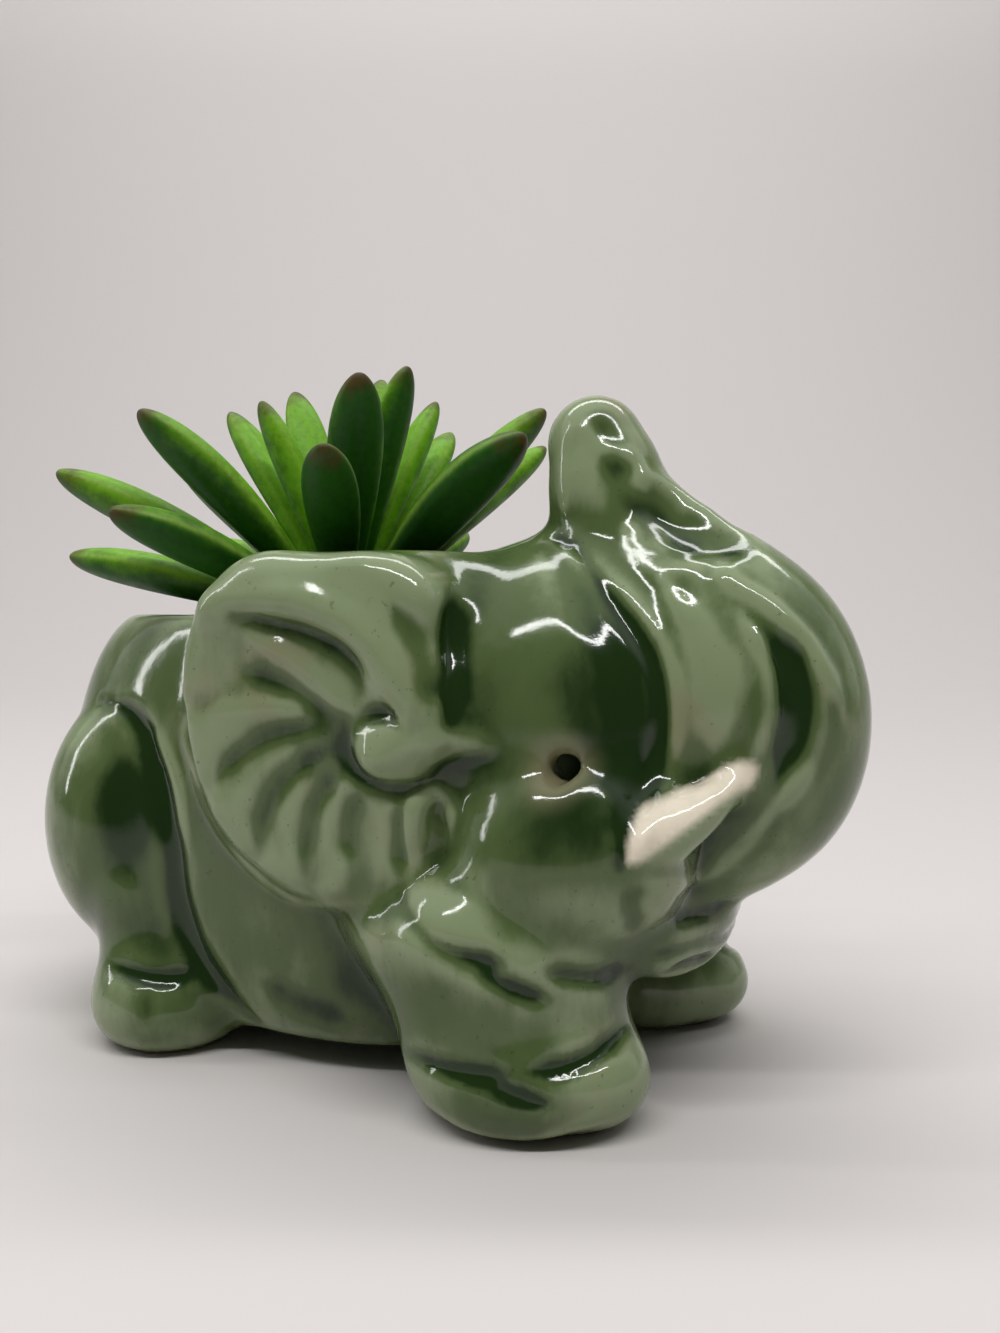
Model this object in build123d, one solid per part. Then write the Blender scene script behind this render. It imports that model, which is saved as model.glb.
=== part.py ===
"""Elephant-shaped ceramic planter with an artificial succulent standing in its open back.

Sizes are millimetres. The elephant faces +X, +Z is up, and its right side is -Y. The model is drawn
about the ground point under its belly, and written with its origin at the centre of its footprint.
"""
import math
import os

from build123d import *

# Torso: the pot itself
rim_height = 78.0
belly_clearance = 3.5
rump_reach = 73.5
chest_reach = 30.0
torso_half_width = 38.0
wall = 4.5
floor_thickness = 5.0
torso_squareness = 2.7
# Height, reach to the rear, reach to the front and half width of each level of the torso
torso_shares = (
    (0.00, 0.70, 0.78, 0.72),
    (0.05, 0.84, 0.92, 0.88),
    (0.22, 0.96, 1.00, 0.975),
    (0.52, 1.00, 1.00, 1.00),
    (0.78, 0.95, 0.95, 0.95),
    (0.93, 0.87, 0.85, 0.89),
    (1.00, 0.79, 0.70, 0.82),
)

# Well: the open hollow inside the torso
well_front_reach = 22.0
well_front_shares = (0.80, 0.90, 1.00, 1.00, 0.90, 0.72, 0.62)

# Shoulder collar: the fat lip that joins the ears to the head round the front of the well
collar_rise = 10.5
collar_height = rim_height + collar_rise
collar_depth = 34.0
collar_rear_reach = 16.0
collar_front_reach = 34.0
collar_half_width = 36.0
# Drop below the top, reach to the rear, reach to the front and half width of each level
collar_shares = (
    (1.00, 1.00, 1.00, 0.95),
    (0.42, 0.95, 0.97, 1.00),
    (0.14, 0.80, 0.92, 0.96),
    (0.00, 0.55, 0.80, 0.84),
)

# Head, jowls and lower lip
head_radius = 33.0
head_x = 36.0
head_drop = 18.5
head_height = rim_height - head_drop
jowl_length = 41.0
jowl_girth = 35.0
jowl_x = 44.0
jowl_side = 20.5
jowl_drop = 17.5
jowl_height = head_height - jowl_drop
lip_width = 42.0
lip_girth = 20.5
lip_x = 54.5
lip_drop = 32.0
lip_height = head_height - lip_drop

# Eyes: pierced through the wall into the hollow head
eye_diameter = 4.8
eye_x = 48.2
eye_drop = 4.5
eye_height = head_height - eye_drop
eye_bore_depth = 14.0

# Trunk: raised, curled back, its tip over the forehead
trunk_reach = 70.0
trunk_rise = 48.0
trunk_height = head_height + trunk_rise
trunk_radius = 16.5
# Place along the reach, height and radius of each section, from the mouth to the tip
trunk_shares = (
    (0.74, 0.350, 0.61),
    (0.872, 0.388, 0.745),
    (0.965, 0.462, 0.93),
    (1.00, 0.565, 1.00),
    (0.95, 0.6745, 0.96),
    (0.829, 0.7656, 0.775),
    (0.697, 0.840, 0.675),
    (0.604, 0.907, 0.655),
    (0.586, 0.960, 0.60),
    (0.565, 1.000, 0.52),
)

# Tusks: raised on the sides of the trunk
tusk_radius = 4.8
tusk_root_x = 57.0
tusk_root_drop = 16.0
tusk_root_height = head_height - tusk_root_drop
tusk_rise = 11.5
tusk_run = 14.8
tusk_side = 28.5
# Run, rise, distance from the middle plane and radius of each section, from the root to the tip
tusk_shares = (
    (0.00, 0.00, 1.00, 1.00),
    (0.37, 0.22, 0.877, 0.96),
    (0.71, 0.55, 0.702, 0.71),
    (1.00, 1.00, 0.533, 0.23),
)

# Front legs
front_leg_height = 42.0
front_foot_length = 39.0
front_foot_width = 37.0
front_foot_x = 38.5
front_foot_side = 24.5
front_leg_lean = 9.0
front_leg_tuck = 8.0
# Height, backward lean, tuck towards the middle, half length and half width of each level
front_leg_shares = (
    (0.00, 0.00, 0.00, 0.63, 0.65),
    (0.07, 0.00, 0.00, 0.89, 0.90),
    (0.19, 0.00, 0.00, 1.00, 1.00),
    (0.34, 0.25, 0.00, 1.01, 0.95),
    (0.52, 0.65, 0.00, 1.12, 0.98),
    (0.74, 1.00, 0.15, 1.18, 1.00),
    (1.00, 1.00, 1.00, 0.95, 0.80),
)

# Rear legs and thighs
rear_leg_height = 34.0
rear_foot_length = 30.0
rear_foot_width = 29.0
rear_foot_x = -32.0
rear_foot_side = 31.0
rear_leg_lean = 9.0
rear_leg_tuck = 6.5
# Height, backward lean, tuck towards the middle, half length and half width of each level
rear_leg_shares = (
    (0.00, 0.00, 0.00, 0.66, 0.68),
    (0.09, 0.00, 0.00, 0.92, 0.93),
    (0.23, 0.00, 0.00, 1.00, 1.00),
    (0.41, 0.08, 0.10, 0.91, 0.90),
    (0.66, 0.45, 0.50, 0.92, 0.88),
    (1.00, 1.00, 1.00, 0.72, 0.68),
)
thigh_height = 52.0
thigh_girth = 37.0
thigh_x = -46.5
thigh_side = 24.0
thigh_middle_height = 38.5

# Hollows left inside the legs by the casting
front_pocket_radius = 7.9
front_pocket_overlap = 10.0
front_pocket_top = front_leg_height + front_pocket_overlap
front_pocket_tuck = 12.0
rear_pocket_radius = 7.9
rear_pocket_top = 22.0
rear_pocket_tuck = 3.0
sole_thickness = 6.0
# Height, tuck towards the middle and radius of each section
pocket_shares = (
    (0.00, 0.00, 0.85),
    (0.20, 0.05, 1.00),
    (0.55, 0.42, 0.92),
    (1.00, 1.00, 0.80),
)

# Ears: flat shells with a rolled upper band that ends in a scroll, and flutes that fan from it
ear_length = 45.5
ear_height = 56.4
ear_rear_x = -17.5
ear_top_drop = 0.6
ear_bottom = collar_height - ear_top_drop - ear_height
ear_inner_side = 29.0
ear_outer_side = 44.0
ear_flare = 5.5
ear_edge_round = 3.0
ear_edge_inset_share = 0.93
ear_outline_shares = (
    (0.23, 0.985),
    (0.075, 0.86),
    (0.006, 0.70),
    (0.00, 0.59),
    (0.04, 0.385),
    (0.135, 0.21),
    (0.30, 0.09),
    (0.48, 0.015),
    (0.66, 0.00),
    (0.86, 0.03),
    (0.98, 0.12),
    (0.98, 0.35),
    (0.97, 0.65),
    (1.00, 0.90),
    (0.90, 0.975),
    (0.55, 1.00),
)
band_radius = 6.3
band_proud = 1.8
band_end_swell_share = 1.06
# Place along the ear, height up it and radius of each section of the band
band_shares = (
    (0.17, 0.835, 0.62),
    (0.37, 0.885, 0.90),
    (0.57, 0.868, 1.00),
    (0.81, 0.780, 0.98),
    (0.955, 0.630, 0.88),
    (0.955, 0.480, 0.78),
    (0.85, 0.420, 0.70),
)
flute_radius = 1.8
flute_depth = 1.1
flute_shares = (
    ((0.70, 0.60), (0.12, 0.56)),
    ((0.66, 0.50), (0.15, 0.30)),
    ((0.69, 0.42), (0.33, 0.10)),
    ((0.74, 0.34), (0.57, 0.06)),
    ((0.82, 0.32), (0.76, 0.08)),
)

# Tail: raised on the rump
tail_radius = 2.6
tail_root_drop = 18.0
tail_root_height = rim_height - tail_root_drop
tail_length = 36.0
tail_sweep = 7.0
tail_sink = 0.4
# Drop, sideways sweep, rump reach and radius of each section
tail_shares = (
    (0.00, 0.00, 0.955, 1.00),
    (0.35, 0.25, 0.998, 0.85),
    (0.70, 0.70, 0.998, 0.80),
    (1.00, 1.00, 0.975, 1.15),
)

# Foam block in the well
foam_length = 52.5
foam_half_width = 25.5
foam_rear_reach = 52.0
foam_drop = 21.0
foam_top = rim_height - foam_drop
foam_floor_gap = 0.3
foam_draft_share = 0.84

# Plant core: the ball that the leaves plug into, and its stem in the foam
plant_x = -15.0
core_drop = 13.5
core_height = collar_height - core_drop
core_radius = 10.0
stem_diameter = 6.0
stem_depth = 28.0
stem_fit = 0.08

# Leaves: each is plugged into the core by a peg
leaf_width = 11.4
leaf_thickness = 9.0
peg_diameter = 1.8
peg_length = 2.6
peg_fit = 0.08
leaf_root_gap = 0.15
leaf_arch = 1.2
# Place along the leaf, width, thickness and arch of each section
leaf_section_shares = (
    (0.00, 0.30, 0.34, 0.00),
    (0.16, 0.44, 0.56, -0.55),
    (0.38, 0.78, 0.86, -1.00),
    (0.60, 0.98, 1.00, -0.85),
    (0.78, 0.92, 0.92, -0.35),
    (0.92, 0.62, 0.60, 0.35),
    (1.00, 0.14, 0.14, 0.80),
)
leaf_reach = 60.0
# Name, heading from +X towards +Y, rise above the level, and as shares the reach from the core's centre
# and the girth
leaf_table = (
    ("rear_low", 200, 15, 1.029, 1.00),
    ("rear_right_low", 222, 29.7, 1.029, 1.00),
    ("right_low", 247, 25.4, 0.852, 1.00),
    ("rear_left_low", 164, 21, 0.95, 0.95),
    ("left_low", 126, 27, 0.92, 0.95),
    ("front_left_low", 90, 27, 0.83, 0.95),
    ("right_mid", 240, 45.9, 0.937, 1.00),
    ("rear_mid", 186, 42, 0.90, 0.92),
    ("rear_left_mid", 146, 47, 0.93, 0.90),
    ("left_mid", 108, 48, 0.88, 0.90),
    ("front_right_mid", 302, 40.7, 0.806, 1.00),
    ("front_mid", 354, 40.1, 0.919, 0.95),
    ("front_left_mid", 26, 48.3, 0.975, 0.95),
    ("left_front_mid", 56, 41.7, 0.996, 0.90),
    ("left_high", 80, 54.9, 0.881, 0.85),
    ("front_right_high", 314, 63.6, 0.858, 0.90),
    ("front_high", 355, 73, 0.874, 0.78),
    ("front_left_high", 58, 67.8, 0.847, 0.75),
    ("left_top", 108, 67.2, 0.985, 0.75),
    ("rear_left_high", 156, 66.9, 0.921, 0.78),
    ("rear_high", 188, 59.6, 0.873, 0.82),
    ("rear_right_high", 226, 70.6, 0.786, 0.75),
    ("centre", 50, 89, 0.84, 0.70),
)

# Drawing values
outline_points = 20
overrun = 6.0
sides = (1, -1)


def level_ring(height, rear_x, front_x, half_width, squareness, middle_y=0):
    """Return the face of one rounded, squarish level outline."""
    half_length = (front_x - rear_x) / 2
    middle_x = (front_x + rear_x) / 2
    points = []
    for step in range(outline_points):
        angle = 2 * math.pi * step / outline_points
        along = math.copysign(abs(math.cos(angle)) ** (2 / squareness), math.cos(angle))
        across = math.copysign(abs(math.sin(angle)) ** (2 / squareness), math.sin(angle))
        points.append((middle_x + half_length * along, middle_y + half_width * across, height))
    return Face(Wire(Spline(*points, periodic=True)))


def tube(stations, side_direction=(0, 1, 0)):
    """Return a round tube of changing radius through stations of x, y, z and radius."""
    points = [Vector(*station[:3]) for station in stations]
    sections = []
    for index, station in enumerate(stations):
        before = points[max(index - 1, 0)]
        after = points[min(index + 1, len(points) - 1)]
        plane = Plane(origin=points[index], x_dir=side_direction, z_dir=after - before)
        sections.append(plane * Circle(station[3]))
    return loft(sections)


def spheroid(axis_length, girth):
    """Return a spheroid about the X axis, centred on the origin."""
    profile = Ellipse(axis_length / 2, girth / 2) & Pos(0, girth / 4) * Rectangle(axis_length, girth / 2)
    return revolve(profile, Axis.X)


def torso_ring(row, shrink, front_x):
    """Return the torso's outline at one level, drawn in by the wall where it bounds the well."""
    height_share, rear_share, front_share, width_share = row
    height = belly_clearance + height_share * (rim_height - belly_clearance)
    reach = chest_reach * front_share if front_x is None else front_x
    return level_ring(height, shrink - rump_reach * rear_share, reach,
                      torso_half_width * width_share - shrink, torso_squareness)


def torso():
    """Return the solid pot shape."""
    return loft([torso_ring(row, 0, None) for row in torso_shares])


def well():
    """Return the hollow of the pot, from its floor up through its mouth."""
    rings = []
    for row, front_share in zip(torso_shares[1:], well_front_shares[1:]):
        ring = torso_ring(row, wall, well_front_reach * front_share)
        if not rings:
            ring = ring.moved(Pos(0, 0, belly_clearance + floor_thickness - ring.center().Z))
        rings.append(ring)
    hollow = loft(rings)
    mouth = extrude(rings[-1], collar_height - rim_height + overrun)
    return hollow + mouth


def collar():
    """Return the fat lip round the front of the well."""
    rings = []
    for drop, rear_share, front_share, width_share in collar_shares:
        rings.append(level_ring(collar_height - collar_depth * drop, -collar_rear_reach * rear_share,
                                collar_front_reach * front_share, collar_half_width * width_share,
                                torso_squareness))
    return loft(rings)


def leg(stations):
    """Return one leg from its levels of height, x, side, half length and half width."""
    rings = []
    for height, middle_x, side, half_length, half_width in stations:
        rings.append(level_ring(height, middle_x - half_length, middle_x + half_length, half_width,
                                2, side))
    return loft(rings)


def leg_stations(height, shares, middle_x, lean, side, tuck, length, width):
    """Return a leg's levels: height, x, side, half length and half width."""
    stations = []
    for height_share, lean_share, tuck_share, length_share, width_share in shares:
        stations.append((height * height_share, middle_x - lean * lean_share, side - tuck * tuck_share,
                         length / 2 * length_share, width / 2 * width_share))
    return stations


def front_leg(side):
    """Return one front leg."""
    return leg(leg_stations(front_leg_height, front_leg_shares, front_foot_x, front_leg_lean,
                            side * front_foot_side, side * front_leg_tuck, front_foot_length,
                            front_foot_width))


def rear_leg(side):
    """Return one rear leg with its thigh."""
    shank = leg(leg_stations(rear_leg_height, rear_leg_shares, rear_foot_x, rear_leg_lean,
                             side * rear_foot_side, side * rear_leg_tuck, rear_foot_length,
                             rear_foot_width))
    thigh = Pos(thigh_x, side * thigh_side, thigh_middle_height) * Rot(0, 90, 0) * spheroid(
        thigh_height, thigh_girth)
    return [shank, thigh]


def trunk():
    """Return the trunk, from inside the head to its rounded tip."""
    stations = []
    for reach_share, height_share, radius_share in trunk_shares:
        stations.append((trunk_reach * reach_share, 0, trunk_height * height_share,
                         trunk_radius * radius_share))
    tip = stations[-1]
    return tube(stations) + Pos(*tip[:3]) * Sphere(tip[3])


def tusk(side):
    """Return one tusk lying on the side of the trunk."""
    stations = []
    for run_share, rise_share, side_share, radius_share in tusk_shares:
        stations.append((tusk_root_x + tusk_run * run_share, side * tusk_side * side_share,
                         tusk_root_height + tusk_rise * rise_share, tusk_radius * radius_share))
    return tube(stations)


def tail():
    """Return the tail lying on the rump."""
    stations = []
    for drop_share, sweep_share, reach_share, radius_share in tail_shares:
        stations.append((tail_sink - rump_reach * reach_share, tail_sweep * sweep_share,
                         tail_root_height - tail_length * drop_share, tail_radius * radius_share))
    tip = stations[-1]
    return tube(stations) + Pos(*tip[:3]) * Sphere(tip[3])


def ear_point(side, share, side_distance):
    """Return a point of the ear, which stands out more at its rear edge than at its front one."""
    return (ear_rear_x + ear_length * share[0], side * (side_distance - ear_flare * share[0]),
            ear_bottom + ear_height * share[1])


def ear(side):
    """Return one ear: a thick fluted shell with a rolled band and a scroll."""
    levels = ((ear_inner_side, 1), (ear_outer_side - ear_edge_round, 1),
              (ear_outer_side, ear_edge_inset_share))
    faces = []
    for distance, inset in levels:
        points = []
        for share in ear_outline_shares:
            inset_share = [0.5 + (value - 0.5) * inset for value in share]
            points.append(ear_point(side, inset_share, distance))
        faces.append(Face(Wire(Spline(*points, periodic=True))))
    shell = loft(faces, ruled=True)
    for start_share, end_share in flute_shares:
        start = Vector(*ear_point(side, start_share, ear_outer_side + flute_radius - flute_depth))
        end = Vector(*ear_point(side, end_share, ear_outer_side + flute_radius - flute_depth))
        plane = Plane(origin=start, z_dir=end - start)
        shell -= extrude(plane * Circle(flute_radius), (end - start).length + overrun)
    stations = []
    for along_share, up_share, radius_share in band_shares:
        radius = band_radius * radius_share
        middle = ear_point(side, (along_share, up_share), ear_outer_side + band_proud - radius)
        stations.append((*middle, radius))
    ends = [Pos(*stations[end][:3]) * Sphere(stations[end][3] * band_end_swell_share) for end in (0, -1)]
    return shell + [tube(stations), *ends]


def leg_pocket(middle_x, side, tuck, radius, top):
    """Return the hollow inside one leg."""
    sections = []
    for height_share, tuck_share, radius_share in pocket_shares:
        middle = Pos(middle_x, side - tuck * tuck_share,
                     sole_thickness + (top - sole_thickness) * height_share)
        sections.append(middle * Circle(radius * radius_share))
    return loft(sections)


def planter_body():
    """Return the one glazed casting."""
    masses = [collar(), trunk(), tail(), Pos(head_x, 0, head_height) * Sphere(head_radius),
              Pos(lip_x, 0, lip_height) * Rot(0, 0, 90) * spheroid(lip_width, lip_girth)]
    hollows = [well(), Pos(head_x, 0, head_height) * Sphere(head_radius - wall)]
    for side in sides:
        masses += [front_leg(side), *rear_leg(side), ear(side), tusk(side)]
        masses.append(Pos(jowl_x, side * jowl_side, jowl_height) * spheroid(jowl_length, jowl_girth))
        hollows.append(leg_pocket(front_foot_x - front_leg_lean / 2, side * front_foot_side,
                                  side * front_pocket_tuck, front_pocket_radius, front_pocket_top))
        hollows.append(leg_pocket(rear_foot_x, side * rear_foot_side, side * rear_pocket_tuck,
                                  rear_pocket_radius, rear_pocket_top))
        hollows.append(eye_bore(side))
    return torso() + masses - hollows


def eye_bore(side):
    """Return the hole through the head's wall at one eye."""
    eye_side = side * math.sqrt(head_radius ** 2 - (eye_x - head_x) ** 2
                                - (eye_height - head_height) ** 2)
    plane = Plane(origin=(eye_x, eye_side + side * overrun, eye_height), z_dir=(0, -side, 0))
    return extrude(plane * Circle(eye_diameter / 2), eye_bore_depth + overrun)


def foam_block():
    """Return the foam block, standing on the well's floor, with the hole for the stem."""
    bottom = belly_clearance + floor_thickness + foam_floor_gap
    front_x = foam_length - foam_rear_reach
    middle_x = front_x - foam_length / 2
    lower = foam_length / 2 * foam_draft_share
    rings = [
        level_ring(bottom, middle_x - lower, middle_x + lower, foam_half_width * foam_draft_share,
                   torso_squareness),
        level_ring(foam_top, -foam_rear_reach, front_x, foam_half_width, torso_squareness),
    ]
    block = loft(rings)
    hole = extrude(Circle(stem_diameter / 2 + stem_fit), stem_depth + overrun)
    return block - Pos(plant_x, 0, foam_top - stem_depth) * hole


def leaf_place(heading, rise):
    """Return the plane of a leaf's root: its normal runs along the leaf, its x lies level."""
    heading_angle = math.radians(heading)
    rise_angle = math.radians(rise)
    along = Vector(math.cos(rise_angle) * math.cos(heading_angle),
                   math.cos(rise_angle) * math.sin(heading_angle), math.sin(rise_angle))
    level = Vector(math.sin(heading_angle), -math.cos(heading_angle), 0)
    root = Vector(plant_x, 0, core_height) + along * (core_radius + leaf_root_gap)
    return Plane(origin=root, x_dir=level, z_dir=along)


def leaf(heading, rise, reach_share, girth_share):
    """Return one pointed, thick leaf with its peg."""
    length = leaf_reach * reach_share - core_radius
    place = leaf_place(heading, rise)
    sections = []
    for along, width_share, thickness_share, arch_share in leaf_section_shares:
        section = Pos(0, leaf_arch * arch_share, length * along) * Ellipse(
            leaf_width / 2 * width_share * girth_share,
            leaf_thickness / 2 * thickness_share * girth_share)
        sections.append(section)
    blade = loft(sections)
    peg = extrude(Circle(peg_diameter / 2), -peg_length)
    return place * (blade + peg)


def plant_core():
    """Return the ball and stem that carry the leaves, with one socket for each leaf."""
    stem_top = core_height
    stem_bottom = foam_top - stem_depth + stem_fit
    core = Pos(plant_x, 0, core_height) * Sphere(core_radius)
    core += Pos(plant_x, 0, stem_bottom) * extrude(Circle(stem_diameter / 2), stem_top - stem_bottom)
    for _, heading, rise, _, _ in leaf_table:
        socket = extrude(Circle(peg_diameter / 2 + peg_fit), -peg_length - leaf_root_gap)
        socket += extrude(Circle(peg_diameter / 2 + peg_fit), leaf_root_gap + peg_fit)
        core -= leaf_place(heading, rise) * socket
    return core


parts = {
    "planter_body": planter_body(),
    "foam_block": foam_block(),
    "plant_core": plant_core(),
}
for leaf_name, *leaf_values in leaf_table:
    parts["leaf_" + leaf_name] = leaf(*leaf_values)

extent = Compound(children=[Part(part.wrapped) for part in parts.values()]).bounding_box()
to_origin = Pos(-(extent.min.X + extent.max.X) / 2, -(extent.min.Y + extent.max.Y) / 2, -extent.min.Z)
print("moved to the origin by", to_origin.position)

os.makedirs("parts", exist_ok=True)
for name, part in parts.items():
    export_step(to_origin * part, f"parts/{name}.step")
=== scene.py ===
"""Looks of the elephant planter: the glazed casting, the foam in its well and the leaves of its plant.

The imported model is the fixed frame. Sizes below are millimetres unless they say otherwise, measured from
the point on the ground under the elephant's belly that the model was drawn about.
"""

import logging
import math
from dataclasses import dataclass, field
from enum import Enum

import bpy
import numpy as np
from mathutils import Matrix, Quaternion, Vector
from mathutils.bvhtree import BVHTree

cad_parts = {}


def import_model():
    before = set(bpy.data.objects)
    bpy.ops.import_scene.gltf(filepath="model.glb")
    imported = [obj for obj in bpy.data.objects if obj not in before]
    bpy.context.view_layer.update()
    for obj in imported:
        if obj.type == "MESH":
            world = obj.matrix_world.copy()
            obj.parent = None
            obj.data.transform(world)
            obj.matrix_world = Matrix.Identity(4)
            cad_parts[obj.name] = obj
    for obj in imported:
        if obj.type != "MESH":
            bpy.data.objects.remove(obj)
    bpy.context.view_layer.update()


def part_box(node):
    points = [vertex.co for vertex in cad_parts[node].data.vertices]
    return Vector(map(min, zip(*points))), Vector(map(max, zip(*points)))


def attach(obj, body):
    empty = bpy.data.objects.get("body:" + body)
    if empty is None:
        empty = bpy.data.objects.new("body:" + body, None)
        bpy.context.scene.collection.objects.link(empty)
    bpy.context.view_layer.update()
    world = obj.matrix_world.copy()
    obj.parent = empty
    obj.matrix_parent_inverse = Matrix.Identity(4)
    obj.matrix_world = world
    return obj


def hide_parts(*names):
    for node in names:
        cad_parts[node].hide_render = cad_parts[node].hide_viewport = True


MM = 0.001
PHOTO_WIDTH = 1000
PHOTO_HEIGHT = 1333
SENSOR_SIZE = 36.0
NEAR_CLIP = 0.01
EDGE_SLACK = 0.01
CORE_CENTRE_X = -15.0
# The inputs and the output of a Mix node that carry colours.
MIX_COLOURS = (6, 7)
MIX_RESULT = 2

log = logging.getLogger("planter")


def ground_point() -> Vector:
    """Return the drawing's ground point in the frame, found from the plant's core.

    Returns:
        The point in metres.
    """
    low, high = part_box("plant_core")
    return Vector(((low.x + high.x) / 2 - CORE_CENTRE_X * MM, 0.0, 0.0))


def select_only(piece: bpy.types.Object) -> None:
    """Deselect everything, then select one piece and make it active.

    Args:
        piece: The piece that the next operator works on.
    """
    bpy.ops.object.select_all(action="DESELECT")
    piece.select_set(True)
    bpy.context.view_layer.objects.active = piece


def apply_modifier(piece: bpy.types.Object, kind: str, **settings: object) -> None:
    """Add one modifier to a piece, set it and apply it.

    Args:
        piece: The piece to change.
        kind: Blender's name for the modifier's type.
        settings: The modifier's properties by name.
    """
    modifier = piece.modifiers.new(kind.lower(), kind)
    for name, value in settings.items():
        setattr(modifier, name, value)
    select_only(piece)
    bpy.ops.object.modifier_apply(modifier=modifier.name)


def read_points(piece: bpy.types.Object, layer: str = "co") -> np.ndarray:
    """Read where a piece's vertices are, or which way they face.

    Args:
        piece: The mesh piece.
        layer: Blender's name for what is read, co or normal.

    Returns:
        One row of x, y and z for each vertex, in metres where it is a place.
    """
    rows = np.empty(len(piece.data.vertices) * 3, np.float32)
    piece.data.vertices.foreach_get(layer, rows)
    return rows.reshape(-1, 3).astype(float)


def write_points(piece: bpy.types.Object, points: np.ndarray) -> None:
    """Write rows of x, y and z back to a piece's vertices.

    Args:
        piece: The piece to change.
        points: One row for each vertex, in metres.
    """
    piece.data.vertices.foreach_set("co", points.astype(np.float32).ravel())
    piece.data.update()


def read_edges(piece: bpy.types.Object) -> np.ndarray:
    """Read which vertices a piece's edges join.

    Args:
        piece: The mesh piece.

    Returns:
        The numbers of the vertices at the edges' first ends, then at their second ends.
    """
    edges = np.empty(len(piece.data.edges) * 2, np.int32)
    piece.data.edges.foreach_get("vertices", edges)
    return edges.reshape(-1, 2).T


def dress(piece: bpy.types.Object, material: bpy.types.Material) -> None:
    """Give a piece one material in place of those that it has."""
    piece.data.materials.clear()
    piece.data.materials.append(material)


def write_attribute(piece: bpy.types.Object, name: str, values: np.ndarray) -> None:
    """Store one number for each vertex under a name that the materials read.

    Args:
        piece: The piece that carries it.
        name: The attribute's name.
        values: One number for each vertex.
    """
    attribute = piece.data.attributes.new(name, "FLOAT", "POINT")
    attribute.data.foreach_set("value", values.astype(np.float32))


def neighbour_mean(piece: bpy.types.Object, values: np.ndarray, rounds: int) -> np.ndarray:
    """Spread values over a mesh by taking the mean along its edges again and again.

    Args:
        piece: The mesh piece.
        values: One number or one row for each vertex.
        rounds: How many times the mean is taken.

    Returns:
        The spread values, in the shape that came in.
    """
    first, second = read_edges(piece)
    count = len(piece.data.vertices)
    degree = np.bincount(first, minlength=count) + np.bincount(second, minlength=count)
    spread = values.reshape(count, -1).astype(float)
    for _ in range(rounds):
        total = np.empty_like(spread)
        for column in range(spread.shape[1]):
            total[:, column] = np.bincount(first, spread[second, column], minlength=count)
            total[:, column] += np.bincount(second, spread[first, column], minlength=count)
        spread = 0.5 * spread + 0.5 * total / np.maximum(degree, 1)[:, None]
    return spread.reshape(values.shape)


@dataclass
class Photographer:
    """The camera as it stood for the photograph."""

    position: tuple[float, float, float] = (118.9, -173.4, 78.1)
    azimuth: float = 29.61
    elevation: float = 2.82
    focal_pixels: float = 1080.0
    ground: Vector = field(default_factory=ground_point)

    def direction_back(self) -> Vector:
        """Work out the way from the object back to the camera.

        Returns:
            The unit direction in the frame.
        """
        turn = math.radians(self.azimuth)
        tilt = math.radians(self.elevation)
        return Vector((math.sin(turn) * math.cos(tilt), -math.cos(turn) * math.cos(tilt), math.sin(tilt)))

    def turn(self) -> Quaternion:
        """Return how the camera is turned."""
        return (-self.direction_back()).to_track_quat("-Z", "Y")

    def place(self) -> Vector:
        """Return the camera's place in the frame, in metres."""
        return self.ground + Vector(self.position) * MM

    def make_camera(self) -> None:
        """Add the camera and make it the scene's own."""
        data = bpy.data.cameras.new("photo_camera")
        data.sensor_width = SENSOR_SIZE
        data.lens = self.focal_pixels / PHOTO_HEIGHT * SENSOR_SIZE
        data.clip_start = NEAR_CLIP
        camera = bpy.data.objects.new("photo_camera", data)
        bpy.context.scene.collection.objects.link(camera)
        camera.location = self.place()
        camera.rotation_mode = "QUATERNION"
        camera.rotation_quaternion = self.turn()
        bpy.context.scene.camera = camera

    def ray(self, pixel: tuple[float, float]) -> Vector:
        """Return the unit direction in which the camera sees one pixel of the photograph.

        Args:
            pixel: The pixel's column and row in the photograph.

        Returns:
            The direction in the frame.
        """
        across = (pixel[0] - PHOTO_WIDTH / 2) / self.focal_pixels
        down = (pixel[1] - PHOTO_HEIGHT / 2) / self.focal_pixels
        return (self.turn() @ Vector((across, -down, -1.0))).normalized()


class Tool(Enum):
    """What a stroke does to the clay: which way it moves, and how much glaze then gathers on it."""

    GOUGE = (-1.0, 0.55)
    COIL = (1.0, -0.5)

    @property
    def way(self) -> float:
        """Return the sign of the tool's move along the surface's normal."""
        return self.value[0]

    @property
    def glaze(self) -> float:
        """Return how much glaze the tool's mark gathers, below zero where it sheds it."""
        return self.value[1]


@dataclass(frozen=True)
class Stroke:
    """One line worked into the soft clay, drawn where the photograph shows it.

    Width, at half of the depth, and depth are millimetres. Ends is the share of the depth that is left
    at both ends. The path is pixels of the photograph, cast on to the clay from the camera.
    """

    name: str
    tool: Tool
    width: float
    depth: float
    ends: float
    path: tuple[tuple[float, float], ...]


@dataclass(frozen=True)
class Spot:
    """A round place on the clay about a pixel of the photograph.

    Reach is millimetres. The amount is the height in millimetres of a swell, in below zero, or how
    much darker the glaze is made, paler below zero: glaze pooled or run thin at some spots, painted
    shade and painted reflection at others.
    """

    name: str
    pixel: tuple[float, float]
    reach: float
    amount: float


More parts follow.
